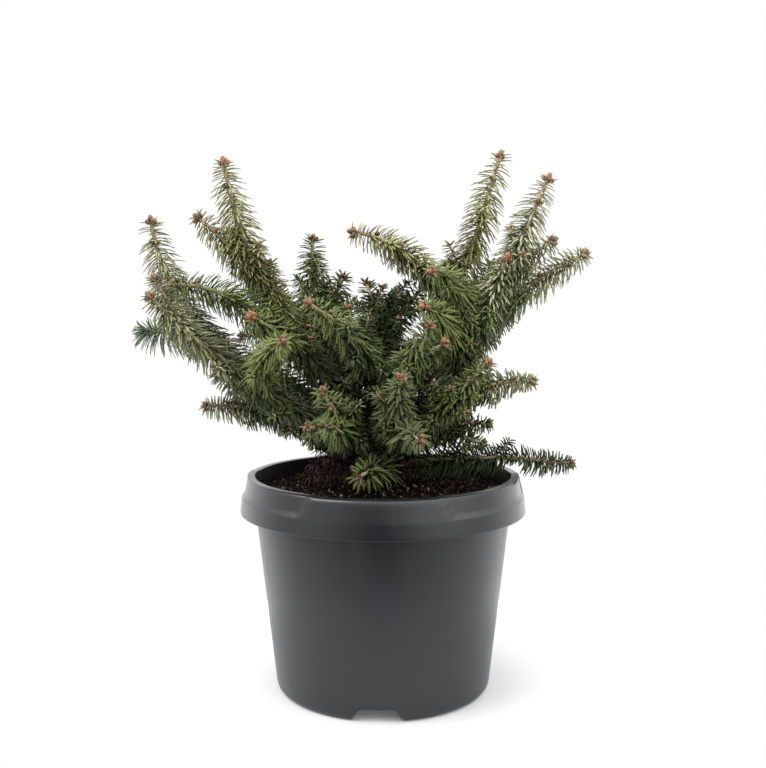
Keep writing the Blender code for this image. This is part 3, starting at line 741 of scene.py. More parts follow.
def needle_skin(name, colour, roughness):
    """One side of a needle: fine mottling over a base that drifts from shoot to shoot."""
    made = Finish(name, 0.25)
    drift = made.speckle(0.030, 3.0)
    mottle = made.speckle(0.0014, 3.0)
    base = made.blend(made.ramp(drift, 0.3, 0.7), scaled(colour, 0.78), scaled(colour, 1.22))
    base = made.blend(made.ramp(mottle, 0.35, 0.7) * 0.35, base, scaled(colour, 1.5))
    return made.done(base, roughness + mottle * 0.2, mottle, 0.00008, 0.5)


def needle_skins(tint, colour):
    """The skins of a needle's upper side when young and when old, of its pale underside and of its foot,
    darkened as painted shade.
    """
    if tint == "dead":
        looks = (scaled(colour, 1.4), colour, colour, scaled(colour, 0.5))
    else:
        young = toward(scaled(colour, 1.25), (0.33, 0.35, 0.14), 0.24)
        green = scaled((0.058, 0.096, 0.024), min(1.0, 9 * colour[1]))
        old = toward(scaled(colour, 0.74), green, 0.45)
        # The foot skin is the old green at 0.55: painted shade at the needle's root.
        looks = (young, old, toward(colour, (0.24, 0.28, 0.19), 0.12), scaled(old, 0.55))
    sides = (("young", 0.34), ("old", 0.40), ("under", 0.52), ("foot", 0.55))
    return [needle_skin(f"needle_{tint}_{side}", look, rough) for (side, rough), look in zip(sides, looks)]


# Meshes
def mesh_piece(name, verts, faces, materials, slots=None, smooth=True):
    """A mesh object from arrays of points and of faces of one or more sizes."""
    mesh = bpy.data.meshes.new(name)
    groups = [np.asarray(f, np.int32) for f in faces if len(f)]
    sizes = np.concatenate([np.full(len(g), g.shape[1]) for g in groups])
    loops = np.concatenate([g.ravel() for g in groups])
    mesh.vertices.add(len(verts))
    mesh.vertices.foreach_set("co", np.asarray(verts, np.float32).ravel())
    mesh.loops.add(len(loops))
    mesh.loops.foreach_set("vertex_index", loops)
    mesh.polygons.add(len(sizes))
    mesh.polygons.foreach_set("loop_start", np.concatenate([[0], np.cumsum(sizes)[:-1]]).astype(np.int32))
    if slots is not None:
        mesh.polygons.foreach_set("material_index", np.asarray(slots, np.int32))
    mesh.update(calc_edges=True)
    if mesh.validate():
        raise RuntimeError(f"{name} has faulty faces")
    for material in materials:
        mesh.materials.append(material)
    if smooth:
        mesh.shade_smooth()
    obj = bpy.data.objects.new(name, mesh)
    bpy.context.scene.collection.objects.link(obj)
    return obj


def hand_over(obj, nodes=()):
    """Rides the piece on the plant's body and lets it stand for its solids."""
    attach(obj, "root")
    if nodes:
        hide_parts(*nodes)


def grid_quads(rows, columns):
    """Quads between successive closed rows of points."""
    r, c = np.meshgrid(np.arange(rows - 1), np.arange(columns), indexing="ij")
    d = (c + 1) % columns
    low, high = r * columns, (r + 1) * columns
    return np.stack([low + c, low + d, high + d, high + c], axis=-1).reshape(-1, 4)


def carried_frames(ways):
    """Two directions square to each way, carried along without a twist."""
    across = np.cross(ways[0], [0.30, 0.93, 0.22])
    found = []
    for way in ways:
        across = unit(across - way * (across @ way))
        found.append((across, np.cross(way, across)))
    return np.array(found)


def tube_rows(centres, ways, radii, sides):
    """Rows of points round a line, and the direction outward at each."""
    frames = carried_frames(ways)
    turns = round_turns(sides)
    out = outward(frames[:, :1], frames[:, 1:], turns[None, :, None])
    return centres[:, None] + out * np.asarray(radii)[..., None], out


class Heap:
    """Gathers many closed tubes, lumps and blades into one mesh."""

    def __init__(self):
        self.verts, self.quads, self.tris = [], [], []
        self.count = 0

    def take(self, verts, quads=None, tris=None):
        self.verts.append(verts)
        if quads is not None:
            self.quads.append(quads + self.count)
        if tris is not None:
            self.tris.append(tris + self.count)
        self.count += len(verts)

    def tube(self, rows):
        """A closed tube from rows of points, shut by a pole at each end."""
        total, sides = rows.shape[:2]
        verts = np.concatenate([rows.reshape(-1, 3), rows[:1].mean(axis=1), rows[-1:].mean(axis=1)])
        c = np.arange(sides)
        d = (c + 1) % sides
        last = (total - 1) * sides
        ends = [np.stack([d, c, np.full(sides, total * sides)], axis=1)]
        ends.append(np.stack([last + c, last + d, np.full(sides, total * sides + 1)], axis=1))
        self.take(verts, grid_quads(total, sides), np.concatenate(ends))

    def piece(self, name, materials, smooth=True):
        faces = [np.concatenate(self.quads)] if self.quads else []
        faces += [np.concatenate(self.tris)] if self.tris else []
        return mesh_piece(name, np.concatenate(self.verts), faces, materials, smooth=smooth)


def roughness_at(points, size, seed=0.0):
    """Fractal noise from about -1 to 1 at each point."""
    offset = Vector((seed, seed * 1.7, seed * 0.6))
    return np.array([noise.fractal(Vector(p) / size + offset, 1.0, 2.0, 4) for p in points])


# Pot
def eased(x):
    x = np.clip(x, 0.0, 1.0)
    return x * x * (3 - 2 * x)


def body_radius(height):
    return BASE_RADIUS + BODY_TAPER * (height - BASE_CORNER)


def rounded(corners, steps=5):
    """A line through corners, each rounded by its own radius, with extra points on long runs."""
    points = [np.array(corners[0][:2])]
    for before, here, after in zip(corners, corners[1:], corners[2:]):
        a, p, b = (np.array(q[:2]) for q in (before, here, after))
        back, on = unit(a - p), unit(b - p)
        reach = min(here[2], 0.45 * np.linalg.norm(a - p), 0.45 * np.linalg.norm(b - p))
        t = np.linspace(0, 1, steps)[:, None]
        start, end = p + back * reach, p + on * reach
        points += list((1 - t) ** 2 * start + 2 * t * (1 - t) * p + t**2 * end)
    points.append(np.array(corners[-1][:2]))
    fine = [points[0]]
    for a, b in zip(points, points[1:]):
        most = 0.0025 if b[1] < 0.014 or a[1] > 0.14 else 0.012
        count = max(1, int(np.ceil(np.linalg.norm(b - a) / most)))
        fine += [a + (b - a) * k / count for k in range(1, count + 1)]
    return np.array(fine)


def pot_sections():
    """The pot's outer and inner sections, as radius and height, each from the floor's middle up."""
    lip = POT_HEIGHT - RIM_DROP
    under = POT_HEIGHT - 0.0065
    outer = rounded((
        (0.004, 0.0, 0), (BASE_RADIUS, 0.0, 0.0062), (body_radius(under) + 0.0012, under, 0.0016),
        (RIM_RADIUS - 0.0048, under - 0.0024, 0.003), (RIM_RADIUS - 0.0020, lip, 0.0008),
        (RIM_RADIUS + 0.0001, lip, 0.0011), (RIM_RADIUS - 0.0012, lip + 0.0118, 0.001),
        (LIP_RADIUS + 0.0004, POT_HEIGHT, 0.0026), (LAND_RADIUS + 0.0005, POT_HEIGHT, 0),
    ))
    inner = rounded((
        (0.004, WALL, 0), (BASE_RADIUS - WALL, WALL, 0.006),
        (body_radius(POT_HEIGHT - 0.001) - WALL, POT_HEIGHT, 0.0009), (LAND_RADIUS + 0.0005, POT_HEIGHT, 0),
    ))
    return outer, inner[:-1]


def channel_rise(radius, offset):
    """How far a drain channel lifts the floor and cuts the foot."""
    beside = np.abs(radius * np.sin(np.radians(offset))) - CHANNEL_HALF
    lift = CHANNEL_HEIGHT * (1 - eased(beside / CHANNEL_SLOPE)) * eased((radius - CHANNEL_START) / 0.009)
    return np.where(np.abs(offset) < 40, lift, 0.0)


def relief(radius, height, offset, outside):
    """Sinks the grips between the rim's panels, dips the panels' top edge and raises the channels."""
    away = np.abs(offset)
    grip = eased((away - PANEL_HALF) / 1.6)
    bead = POT_HEIGHT - RIM_DROP + BEAD + (RIM_DROP - BEAD) * eased((PANEL_HALF + 6.5 - away) / 6.0)
    if outside:
        on_band = (radius > LIP_RADIUS - 0.001) & (height < POT_HEIGHT - 0.0002)
        sunk = RECESS * grip * eased((height - bead) / 0.0022)
        radius = radius - np.where(on_band, sunk, 0.0)
    top = eased((height - POT_HEIGHT + 0.004) / 0.003) * (radius > LAND_RADIUS - 0.003)
    height = height - PANEL_DIP * (1 - grip) * top
    foot = np.clip(1 - 0.45 * height / FOOT, 0, 1) * (height < FOOT) * (radius < RIM_RADIUS - 0.02)
    rise = channel_rise(radius, offset) * np.where(height < 0.0035, 1.0, foot)
    return radius, height + rise


def pot_rows(section, outside, turns, offsets):
    radius = np.repeat(section[:, :1], len(turns), axis=1)
    height = np.repeat(section[:, 1:], len(turns), axis=1)
    radius, height = relief(radius, height, offsets[None], outside)
    return np.stack([*turned(radius, turns), height], axis=-1)


class FIR_OT_pot(bpy.types.Operator):
    """Moulds the nursery pot with its hanging rim, grips and drain channels"""

    bl_idname = "fir.pot"
    bl_label = "Nursery Pot"

    def execute(self, context):
        columns = context.scene.fir_pot.columns
        steps = np.linspace(-180, 180, columns, endpoint=False)
        turns = np.radians(steps - 90 + TURN)
        offsets = (steps + 60) % 120 - 60
        outer, inner = pot_sections()
        heap = Heap()
        heap.tube(np.concatenate([
            pot_rows(outer, True, turns, offsets), pot_rows(inner[::-1], False, turns, offsets),
        ]))
        # The inner wall's plastic is darkened to a quarter and dulled: painted shade.
        finishes = [plastic(), plastic("pot_inside", 0.25, 0.12), plastic("pot_rim", 0.72, 0.60)]
        # The rim's plastic is darker by 0.72, painted shade, and glossier, as the moulded rim is.
        pot = heap.piece("pot_shell", finishes)
        self.drill(pot)
        for face in pot.data.polygons:
            x, y, z = face.center
            reach = math.hypot(x, y)
            # Faces turned toward the axis take the inner wall's painted shade.
            inside = z > 0.01 and face.normal.x * x + face.normal.y * y < -0.3 * reach
            # The rim band and its top land take the rim's painted shade.
            on_rim = reach > LAND_RADIUS - 0.001 and z > POT_HEIGHT - RIM_DROP - 0.001
            face.material_index = 1 if inside else 2 if on_rim else 0
        pot.data.set_sharp_from_angle(angle=math.radians(50))
        hand_over(pot, ["pot"])
        return {"FINISHED"}

    def drill(self, pot):
        """Cuts the drain holes through the channels."""
        plugs = Heap()
        for sector in range(SECTORS):
            a = math.radians(sector * 360 / SECTORS - 90 + TURN)
            x, y = turned(HOLE_REACH, a)
            centres = np.array([[x, y, 0.001], [x, y, CHANNEL_HEIGHT + 0.008]])
            rows, _ = tube_rows(centres, np.array([[0, 0, 1.0]] * 2), np.full((2, 1), HOLE_RADIUS), 32)
            plugs.tube(rows)
        cutter = plugs.piece("drain_plugs", [])
        cut = pot.modifiers.new("drain_holes", "BOOLEAN")
        cut.operation = "DIFFERENCE"
        cut.object = cutter
        graph = bpy.context.evaluated_depsgraph_get()
        drilled = bpy.data.meshes.new_from_object(pot.evaluated_get(graph))
        pot.modifiers.clear()
        pot.data = drilled
        bpy.data.objects.remove(cutter)


# Compost
def soil_height(radius, turn):
    out = np.maximum(0.0, (radius - SOIL_FLAT) / (LAND_RADIUS - SOIL_FLAT))
    fall = (SOIL_TOP - SOIL_EDGE) * out**1.6 + SOIL_ROUGH * 0.5 * out
    wave = np.sin(5 * turn + 1.0) + 0.7 * np.sin(9 * turn + 40 * radius)
    return SOIL_TOP - fall + SOIL_ROUGH * wave * np.sin(math.pi * np.minimum(out, 1.0))


def lumpy_height(x, y):
    """The compost's height with its clods."""
    flat = np.stack([x, y, np.zeros_like(x)], axis=-1).reshape(-1, 3)
    clods = roughness_at(flat, 0.011, 3.0) * 0.0011 + roughness_at(flat, 0.0035, 7.0) * 0.0007
    base = soil_height(np.hypot(x, y), np.arctan2(y, x))
    return base - 0.0004 + clods.reshape(x.shape)


class FIR_OT_soil(bpy.types.Operator):
    """Fills the pot with crumbly compost, loose crumbs and a few shed needles"""

    bl_idname = "fir.soil"
    bl_label = "Compost"

    def execute(self, context):
        settings = context.scene.fir_soil
        random = np.random.default_rng(SEED + 1)
        self.plug(settings)
        self.scatter(settings, random)
        self.shed(settings, random)
        return {"FINISHED"}

    def plug(self, settings):
        wall = body_radius(SOIL_EDGE) - WALL - GAP
        radii = np.linspace(wall, 0.002, settings.rings)
        turns = round_turns(SOIL_COLUMNS)
        x, y = turned(radii[:, None], turns)
        top = np.stack([x, y, lumpy_height(x, y)], axis=-1)
        foot = top[:1].copy()
        foot[..., :2] *= (body_radius(SOIL_FOOT) - WALL - GAP) / wall
        foot[..., 2] = SOIL_FOOT
        heap = Heap()
        heap.tube(np.concatenate([foot, top]))
        hand_over(heap.piece("compost_bed", [peat()]), ["soil"])

    def scatter(self, settings, random):
        """Angular crumbs in three tones."""
        shape = np.array([(0, 0, 1), (0.9, 0, 0.3), (-0.4, 0.8, 0.3), (-0.4, -0.8, 0.2), (0.5, 0.6, -0.5),
                          (-0.8, 0.1, -0.5), (0.5, -0.7, -0.4), (0, 0, -0.9)])
        tris = np.array([(0, 1, 2), (0, 2, 3), (0, 3, 1), (1, 4, 2), (2, 5, 3), (3, 6, 1),
                         (1, 6, 4), (2, 4, 5), (3, 5, 6), (4, 7, 5), (5, 7, 6), (6, 7, 4)])
        tones = (
            ("dark", scaled(settings.colour, 1.3), 0.46),
            ("fibre", settings.fibre, 0.36),
            ("pale", scaled(settings.fibre, 5.0), 0.18),
        )
        for name, colour, part in tones:
            heap = Heap()
            count = int(settings.crumbs * part)
            radius = np.sqrt(random.uniform(0, 1, count)) * (body_radius(SOIL_EDGE) - WALL - 0.003)
            turn = random.uniform(0, 2 * math.pi, count)
            x, y = turned(radius, turn)
            z = lumpy_height(x, y)
            for k in range(count):
                size = random.uniform(0.0004, 0.0009)
                if random.uniform() < 0.14:
                    size *= random.uniform(1.5, 2.6)
                lump = shape * random.uniform(0.7, 1.2, (8, 1)) * size * random.uniform(0.6, 1.5, 3)
                c, s = turned(1.0, random.uniform(0, 2 * math.pi))
                spin = np.array([[c, -s, 0], [s, c, 0], [0, 0, 1]])
                heap.take(lump @ spin.T + [x[k], y[k], z[k] + 0.3 * size], tris=tris)
            hand_over(heap.piece("crumbs_" + name, [crumb("crumb_" + name, colour)], smooth=False))

    def shed(self, settings, random):
        """Old brown needles lying on the compost."""
        count = settings.litter
        radius = np.sqrt(random.uniform(0.02, 1, count)) * (body_radius(SOIL_EDGE) - 0.016)
        turn = random.uniform(0, 2 * math.pi, count)
        lie = random.uniform(0, 2 * math.pi, count)
        x, y = turned(radius, turn)
        roots = np.stack([x, y, lumpy_height(x, y) + 0.0012], axis=1)
        ways = np.stack([*turned(1.0, lie), random.uniform(-0.05, 0.10, count)], axis=1)
        lengths = random.uniform(0.009, 0.015, count)
        down, up = (np.tile([0.0, 0.0, z], (count, 1)) for z in (-1.0, 1.0))
        curl = random.uniform(-0.2, 0.3, count)
        age = np.zeros(count, int)
        blades = Blades(roots, unit(ways), lengths, np.full(count, 0.0012), down, up, curl, age)
        skin = crumb("shed_needle", (0.055, 0.028, 0.016))
        hand_over(blades.piece("shed_needles", [skin] * 4))


# Limbs
class FIR_OT_limbs(bpy.types.Operator):
    """Grows the trunk and its boughs with the relief of their bark"""

    bl_idname = "fir.limbs"
    bl_label = "Trunk and Boughs"

    def execute(self, context):
        heap = Heap()
        self.depth = context.scene.fir_bark.relief
        line, radii = trunk_line(), trunk_radii()
        line[0, 2] -= 0.002
        radii = radii - self.depth * 0.5
        height = np.linspace(line[0, 2], line[-1, 2], 110)
        centres = self.softened(at_height(line, height))
        girth = np.interp(height, line[:, 2], radii)
        self.limb(heap, centres, self.softened(girth[:, None])[:, 0], 36)
        for spray in SPRAYS:
            if spray.bough:
                path = crown().boughs[spray.name]
                t = np.linspace(0, 1, int(path.length / 0.0009))
                girth = spray.girth + (CORE_ROOT - spray.girth) * t
                collar = 0.0008 * np.exp(-((t * path.length - 0.007) / 0.004) ** 2)
                self.limb(heap, path.at(t), girth - self.depth * 0.4 + collar, 20)
        hand_over(heap.piece("fir_bark", [bark()]), LIMB_NODES)
        return {"FINISHED"}

    def softened(self, values):
        """Rounds the corners of a line of values."""
        for _ in range(14):
            values[1:-1] = (values[:-2] + 2 * values[1:-1] + values[2:]) / 4
        return values

    def limb(self, heap, centres, radii, sides):
        """One limb: bark ridges along it and a scatter of raised blisters."""
        ways = unit(np.gradient(centres, axis=0))
        rows, out = tube_rows(centres, ways, radii[:, None], sides)
        flat = rows.reshape(-1, 3) * [1, 1, 0.45]
        ridges = roughness_at(flat, 0.0035, 11.0)
        blisters = np.maximum(0, roughness_at(rows.reshape(-1, 3), 0.0045, 23.0) - 0.25)
        lift = (0.6 * ridges + 1.6 * blisters).reshape(rows.shape[:2] + (1,)) * self.depth
        heap.tube(rows + out * lift)


class FIR_OT_twigs(bpy.types.Operator):
    """Grows the shoots and finer twigs that carry the needles"""

    bl_idname = "fir.twigs"
    bl_label = "Twigs"

    def execute(self, context):
        heap, dead = Heap(), Heap()
        for twig in crown().twigs:
            if twig.order == LIMB:
                continue
            count = max(5, int(twig.path.length / 0.0025))
            t = np.linspace(0, 1, count)
            knuckles = 1 + 0.09 * np.sin(np.arange(count) * 2.4)
            rows, _ = tube_rows(twig.path.at(t), twig.path.along(t), (twig.radius(t) * knuckles)[:, None], 7)
            (dead if twig.order == DEAD else heap).tube(rows)
        hand_over(heap.piece("fir_twigs", [young_bark()]), SPRAY_NODES)
        hand_over(dead.piece("dead_twigs", [crumb("dead_wood", (0.034, 0.016, 0.010))]))
        return {"FINISHED"}


class FIR_OT_buds(bpy.types.Operator):
    """Sets clusters of resinous buds on the shoots' tips and single ones along them"""

    bl_idname = "fir.buds"
    bl_label = "Buds"

    def execute(self, context):
        heap = Heap()
        random = np.random.default_rng(SEED + 2)
        for twig in crown().twigs:
            main = twig.order < LATERAL
            if twig.order > LATERAL or not twig.budded or not (main or random.uniform() < 0.35):
                continue
            sweep = SPRAYS[twig.spray].sweep
            big = 0.60 + 0.40 * sweep if main else 0.50
            self.cluster(heap, twig, 1.0, int(random.integers(3, 6)) if main else 1, big, random)
            if main:
                along = 0.020
                while along < twig.path.length - 0.015:
                    share = 1 - along / twig.path.length
                    self.cluster(heap, twig, share, int(random.integers(1, 4)), 0.85, random)
                    along += random.uniform(0.024, 0.040) + 0.02 * (1 - sweep)
        hand_over(heap.piece("fir_buds", [resin_bud()]))
        return {"FINISHED"}

    def cluster(self, heap, twig, share, count, big, random):
        """A few buds round one point of a shoot, with one at its end when that is the tip."""
        root, way = twig.path.at(share), twig.path.along(share)
        square = crosswise(way, [0.2, 0.4, 1.0])
        ending = share > 0.99
        if ending:
            self.bud(heap, root - way * 0.0012, way, 0.0025 * big, 0.0060 * big)
        start = random.uniform(0, 6.28)
        for k in range(count):
            out = outward(*square, start + 2 * math.pi * k / max(count, 2) + random.uniform(-0.4, 0.4))
            lean = unit(way + out * (random.uniform(0.6, 1.1) if ending else random.uniform(0.8, 1.6)))
            size = random.uniform(0.8, 1.05) * big
            base = root - way * (0.0026 * big if ending else 0.0) + out * 0.0018
            self.bud(heap, base, lean, 0.0023 * size, 0.0052 * size)

    def bud(self, heap, root, way, radius, length):
        """An egg-shaped bud."""
        t = np.array([0.03, 0.16, 0.42, 0.70, 0.90, 0.985])
        shape = radius * np.array([0.50, 0.86, 1.0, 0.84, 0.50, 0.16])
        centres = root + np.outer(t * length, way)
        rows, _ = tube_rows(centres, np.tile(way, (6, 1)), shape[:, None], 8)
        heap.tube(rows)


# Needles
class Blades:
    """Many needles as arrays: where each is rooted, how it points, bends and lies, and how old it is; a third
    class marks needles painted in shade.
    """

    fields = ("roots", "ways", "lengths", "width", "bends", "flats", "curl", "age")
    steps = np.array([0.0, 0.30, 0.64, 0.92])
    shape = np.array([0.50, 0.98, 1.0, 0.62])

    def __init__(self, *values):
        for key, value in zip(self.fields, values, strict=True):
            setattr(self, key, value)

    @classmethod
    def joined(cls, parts):
        return cls(*(np.concatenate([getattr(part, key) for part in parts]) for key in cls.fields))

    def chosen(self, index):
        return Blades(*(getattr(self, key)[index] for key in self.fields))

    def at(self, t):
        """The middle of each needle at this share of its length."""
        curve = self.ways * t + self.bends * (0.5 * self.curl[:, None] * t**2)
        return self.roots + curve * self.lengths[:, None]

    def piece(self, name, skins):
        """One mesh: each needle is flat on top, keeled beneath and darkened at its foot as painted shade."""
        count = len(self.roots)
        verts = np.empty((count, 13, 3))
        for k, (t, wide) in enumerate(zip(self.steps, self.shape)):
            middle = self.at(t)
            way = unit(self.ways + self.bends * (self.curl * t)[:, None])
            side = unit(np.cross(way, self.flats))
            up = np.cross(side, way)
            half = (0.5 * self.width * wide)[:, None]
            verts[:, 3 * k] = middle - side * half + up * half * 0.15
            verts[:, 3 * k + 1] = middle + side * half + up * half * 0.15
            verts[:, 3 * k + 2] = middle - up * half * 0.72
        verts[:, 12] = self.at(1.0)
        quads = grid_quads(4, 3)
        tris = np.array([(2, 1, 0), (9, 10, 12), (10, 11, 12), (11, 9, 12)])
        start = np.arange(count)[:, None, None] * 13
        beneath, foot = 2, 3
        # Needles of the third class take the foot skin on top as well: painted shade.
        top = np.choose(self.age, [0, 1, foot])[:, None]
        quad_slots = np.where(np.tile([True, False, False], 3), top, beneath)
        # The first row of faces and the root cap take the foot skin: painted shade.
        quad_slots[:, :3] = foot
        tri_slots = np.where([False, True, False, False], top, beneath)
        tri_slots[:, 0] = foot
        slots = np.concatenate([quad_slots.ravel(), tri_slots.ravel()])
        faces = [(quads[None] + start).reshape(-1, 4), (tris[None] + start).reshape(-1, 3)]
        return mesh_piece(name, verts.reshape(-1, 3), faces, skins, slots, smooth=False)


class FIR_OT_needles(bpy.types.Operator):
    """Clothes every shoot in flat needles, dealt out by shoot in seven greens and a brown"""

    bl_idname = "fir.needles"
    bl_label = "Needles"

    def execute(self, context):
        settings = context.scene.fir_needles
        blades, owner = self.pruned(*self.grown(settings))
        twigs = crown().twigs
        tints = np.array([self.tint(twig) for twig in twigs])[owner]
        for tint in TINTS:
            skins = needle_skins(tint, getattr(settings, tint))
            chosen = np.flatnonzero(tints == tint)
            for part in range(0, len(chosen), PIECE_NEEDLES):
                some = chosen[part:part + PIECE_NEEDLES]
                bearers = {twigs[k].spray for k in owner[some] if twigs[k].order < DEAD}
                nodes = sorted("spray_" + SPRAYS[spray].name for spray in bearers)
                name = f"needles_{tint}_{part // PIECE_NEEDLES + 1}"
                hand_over(blades.chosen(some).piece(name, skins), nodes)
        return {"FINISHED"}

    def tint(self, twig):
        """The green of a twig: deep in the crown it is always the shaded one."""
        if twig.order == DEAD:
            return "dead"
        if not twig.budded:
            return "blue"
        x, y, z = twig.path.at(0.3)
        if twig.order >= LATERAL and math.hypot(x - DEEP_X, y) < DEEP_REACH and z < DEEP_TOP:
            return "shade"
        tint, (x, y, z) = SPRAYS[twig.spray].tint, twig.path.points[2]
        low = z < LOW_TOP and math.hypot(x, y) < LOW_REACH
        return "lush" if low and tint in ("spring", "silver", "frost") else tint

    def grown(self, settings):
        """Every needle that the shoots would bear with nothing in the way, and the twig that bears it."""
        random = np.random.default_rng(SEED + 3)
        parts = [self.clothed(twig, settings, random) for twig in crown().twigs]
        return Blades.joined(parts), np.repeat(np.arange(len(parts)), [len(part.roots) for part in parts])

    def clothed(self, twig, settings, random):
        """The needles of one twig: shorter, closer and more forward near its tip, swept back further down."""
        main, length, spray = twig.order < LATERAL, twig.path.length, SPRAYS[twig.spray]
        sweep = spray.sweep
        apart = LATERAL_SPACING if not main else 1.0 if twig.budded else FAN_SPACING
        along = np.arange(0.002 if main else 0.004, length, settings.spacing * apart)
        turn = np.arange(len(along)) * GOLDEN_ANGLE
        tip = spray.tip ** (1.0 if twig.order == LEADER else 0.5) if twig.budded else 1.0
        most = {LIMB: 0.7, DEAD: 0.75}.get(twig.order, 1.0)
        bare = np.interp(length - along, [0.006, 0.034], [tip, 1.0]) * (0.62 + 0.38 * min(1.0, 2 * sweep))
        borne = random.uniform(size=len(along)) < (bare if main else most)
        along, turn = along[borne], turn[borne]
        count, share = len(along), along / length
        left = length - along + (0.05 if twig.order == LIMB else 0.0)
        way = twig.path.along(share)
        level = np.sqrt(np.clip(1 - way[:, 2] ** 2, 0, 1))
        frames = carried_frames(way)
        out = outward(frames[:, 0], frames[:, 1], (turn + random.normal(0, 0.25, count))[:, None])
        lean = np.interp(left, *NEEDLE_LEAN) + sweep * np.interp(left, *SWEPT_LEAN)
        if not twig.budded:
            lean = lean * np.interp(left, *FAN_LEAN)
        lean = np.radians(lean + random.normal(0, 4.5, count))[:, None]
        sag = (0.18 * level * np.interp(left, *SAG))[:, None]
        droop = way * way[:, 2:] - np.array([0, 0, 1.0])
        ways = unit(out * np.sin(lean) + way * np.cos(lean) + droop * sag)
        grown = np.interp(left, GROWTH_AT, GROWTH if twig.budded else FAN_GROWTH)
        lengths = settings.long * spray.needle * grown
        lengths = lengths * random.uniform(0.82, 1.06, count) * (1.0 if main else 0.85)
        lengths = lengths * (1 - level * (0.20 * np.clip(out[:, 2], 0, 1) + 0.16 * np.clip(out[:, 2], -1, 0)))
        roots = twig.path.at(share) + out * (twig.radius(share) * 0.6)[:, None]
        broad = (0.92 / spray.needle) ** 0.8 * (0.6 if twig.order == DEAD else 1.14 - 0.12 * sweep)
        width = settings.wide * broad * random.uniform(0.85, 1.08, count)
        back = -way * ((0.3 + 0.7 * sweep) * np.interp(left, *SWEEP_BACK))[:, None]
        bends = self.square_to(ways, back + np.array([0, 0, -0.40]) + random.normal(0, 0.09, (count, 3)))
        curl = random.uniform(0.60, 1.15, count) * np.interp(left, *CURL) * (0.35 + 0.65 * sweep)
        flats = self.square_to(ways, way + np.array([0, 0, 0.4]) + random.normal(0, 0.24, (count, 3)))
        old = left + random.normal(0, 0.012, count) > OLD_AFTER[main]
        old ^= random.uniform(size=count) < 0.03
        # Needles far from the tip, and all those on the boughs, are painted in shade.
        deep = left + random.normal(0, 0.012, count) > SHADE_PAINTED_AFTER[main]
        age = np.where(deep | (twig.order == LIMB), 2, old.astype(int))
        return Blades(roots, ways, lengths, width, bends, flats, curl, age)

    def square_to(self, ways, pull):
        """The part of each pull that is square to a way."""
        return unit(pull - ways * (pull * ways).sum(-1, keepdims=True))

    def pruned(self, blades, owner):
        """Shortens a needle before what it would cut, and drops it where little would be left."""
        shares = np.array([0.35, 0.55, 0.75, 1.0])
        points = np.stack([blades.at(t) for t in shares], axis=1).reshape(-1, 3)
        mine, theirs, core, limbs = crown().nearness(points, np.repeat(owner, 4))
        ok = (theirs - mine > -OVERLAP) & (core > CORE_CLEAR) & (limbs > LIMB_CLEAR)
        ok &= points[:, 2] > ground(points) + GROUND_CLEAR
        low, high = np.array(CAD_BOX)
        ok &= (points > low - EDGE).all(axis=1) & (points < high + EDGE).all(axis=1)
        clear = np.cumprod(ok.reshape(-1, 4), axis=1).sum(axis=1)
        reach = np.array([0.0, *shares])[clear]
        blades.lengths *= reach
        blades.curl *= reach
        kept = np.flatnonzero(blades.lengths > SHORTEST)
        return blades.chosen(kept), owner[kept]


# Stage
CAMERA_PLACE = (0, -0.803, 0.315)
CAMERA_DIP = 4.96  # degrees below level
CAMERA_LENS = 46.875
WHITE = (1.0, 1.0, 1.0)
TENT_WALLS = (  # the way to each wall, the nearness to it where its glow starts and is full, and its strength
    ((0.0, 1.0, 0.0), -0.1, 0.9, 1.20),
    ((-1.0, 0.0, 0.0), 0.1, 0.9, 0.90),
    ((1.0, 0.0, 0.0), 0.1, 0.9, 1.00),
    ((0.0, 0.0, 1.0), 0.2, 0.95, 0.70),
    ((0.0, 0.0, -1.0), 0.1, 0.9, 0.45),
    ((-0.5, -0.55, 0.67), 0.60, 0.95, 0.50),
    ((0.5, -0.55, 0.67), 0.60, 0.95, 1.60),
)


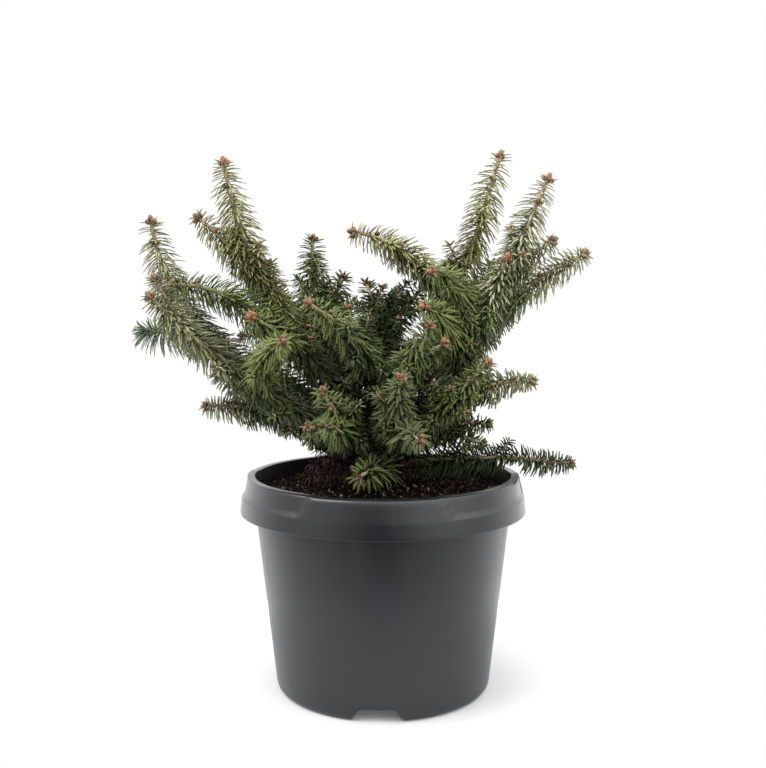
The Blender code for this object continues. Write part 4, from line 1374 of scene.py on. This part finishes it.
class FIR_OT_stage(bpy.types.Operator):
    """Sets the pale floor, the soft studio light and the camera"""

    bl_idname = "fir.stage"
    bl_label = "Studio"

    def execute(self, context):
        settings = context.scene.fir_stage
        self.floor(settings)
        self.tent(settings)
        key = bpy.data.lights.new("key", "SUN")
        key.energy = settings.key
        key.angle = math.radians(40)
        lamp = self.stand("key", key, (-1.1, -0.45, 1.6))
        lamp.rotation_euler = (Vector((0, 0, 0.2)) - lamp.location).to_track_quat("-Z", "Y").to_euler()
        camera = self.stand("camera", bpy.data.cameras.new("camera"), CAMERA_PLACE)
        camera.rotation_euler = (math.radians(90 - CAMERA_DIP), 0, 0)
        camera.data.lens = CAMERA_LENS
        camera.data.clip_start = 0.01
        context.scene.camera = camera
        context.scene.view_settings.view_transform = "Standard"
        return {"FINISHED"}

    def stand(self, name, data, location):
        obj = bpy.data.objects.new(name, data)
        obj.location = location
        bpy.context.scene.collection.objects.link(obj)
        return obj

    def floor(self, settings):
        """A round panel that glows faintly under the plant and turns white at its edge."""
        turns = round_turns(96)
        rows = [np.stack([*turned(r, turns), np.full(96, z)], axis=1)
                for r, z in ((0.24, -0.002), (0.25, 0.0), (0.1, 0.0))]
        heap = Heap()
        heap.tube(np.array(rows))
        made = Finish("studio_floor", 0.2, Emission_Strength=1.0)
        faint = made.speckle(0.4, 2.0)
        out = made.add("ShaderNodeVectorMath", {"operation": "LENGTH"}, {0: made.place()}, 1)
        made.feed(
            Base_Color=made.blend(faint, scaled(settings.floor, 0.99), settings.floor),
            Emission_Color=made.blend(made.ramp(out, 0.18, 0.24), (settings.panel,) * 3, WHITE),
            Roughness=0.7 + faint * 0.1,
        )
        heap.piece("floor", [made.material], smooth=False)

    def tent(self, settings):
        """A tent whose walls glow by how near a direction lies to each. The camera sees it white."""
        world = bpy.data.worlds.new("surround")
        made = Nodes(world)
        made.tree.nodes.clear()
        where = made.add("ShaderNodeTexCoord", {}, {}, "Generated")
        walls = []
        for way, low, high, bright in TENT_WALLS:
            aim = {0: where, 1: Vector(way).normalized()}
            near = made.add("ShaderNodeVectorMath", {"operation": "DOT_PRODUCT"}, aim, "Value")
            spread = {"Value": near, "From Min": low, "From Max": high, "To Max": bright * settings.tent}
            walls.append(made.add("ShaderNodeMapRange", {}, spread))
        glow = {"Color": (*WHITE, 1.0), "Strength": sum(walls[1:], walls[0])}
        lit = made.add("ShaderNodeBackground", {}, glow)
        seen = made.add("ShaderNodeBackground", {}, {"Color": (*WHITE, 1.0)})
        ray = made.add("ShaderNodeLightPath", {}, {}, "Is Camera Ray")
        both = made.add("ShaderNodeMixShader", {}, {0: ray, 1: lit, 2: seen})
        made.link(both, made.tree.nodes.new("ShaderNodeOutputWorld").inputs["Surface"])
        bpy.context.scene.world = world


# Add-on
class FIR_PT_panel(bpy.types.Panel):
    """Lists the plant's pieces and their settings"""

    bl_idname = "FIR_PT_panel"
    bl_label = "Potted Fir"
    bl_space_type = "VIEW_3D"
    bl_region_type = "UI"
    bl_category = "Fir"

    def draw(self, context):
        for group in (name for name, _ in SETTINGS):
            box = self.layout.box()
            box.label(text=group.replace("fir_", "").title())
            for key in getattr(context.scene, group).bl_rna.properties.keys():
                if key not in {"rna_type", "name"}:
                    box.prop(getattr(context.scene, group), key)
        for operator in OPERATORS:
            self.layout.operator(operator.bl_idname)


SETTINGS = (
    ("fir_pot", FirPotSettings),
    ("fir_soil", FirSoilSettings),
    ("fir_bark", FirBarkSettings),
    ("fir_needles", FirNeedleSettings),
    ("fir_stage", FirStageSettings),
)
OPERATORS = (
    FIR_OT_pot, FIR_OT_soil, FIR_OT_limbs, FIR_OT_twigs, FIR_OT_buds, FIR_OT_needles, FIR_OT_stage,
)


def register():
    for name, group in SETTINGS:
        bpy.utils.register_class(group)
        setattr(bpy.types.Scene, name, PointerProperty(type=group))
    for cls in (*OPERATORS, FIR_PT_panel):
        bpy.utils.register_class(cls)


def unregister():
    for cls in (FIR_PT_panel, *reversed(OPERATORS)):
        bpy.utils.unregister_class(cls)
    for name, group in reversed(SETTINGS):
        delattr(bpy.types.Scene, name)
        bpy.utils.unregister_class(group)


def main():
    register()
    bpy.ops.fir.pot()
    bpy.ops.fir.soil()
    bpy.ops.fir.limbs()
    bpy.ops.fir.twigs()
    bpy.ops.fir.buds()
    bpy.ops.fir.needles()
    bpy.ops.fir.stage()
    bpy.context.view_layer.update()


if __name__ == "__main__":
    main()
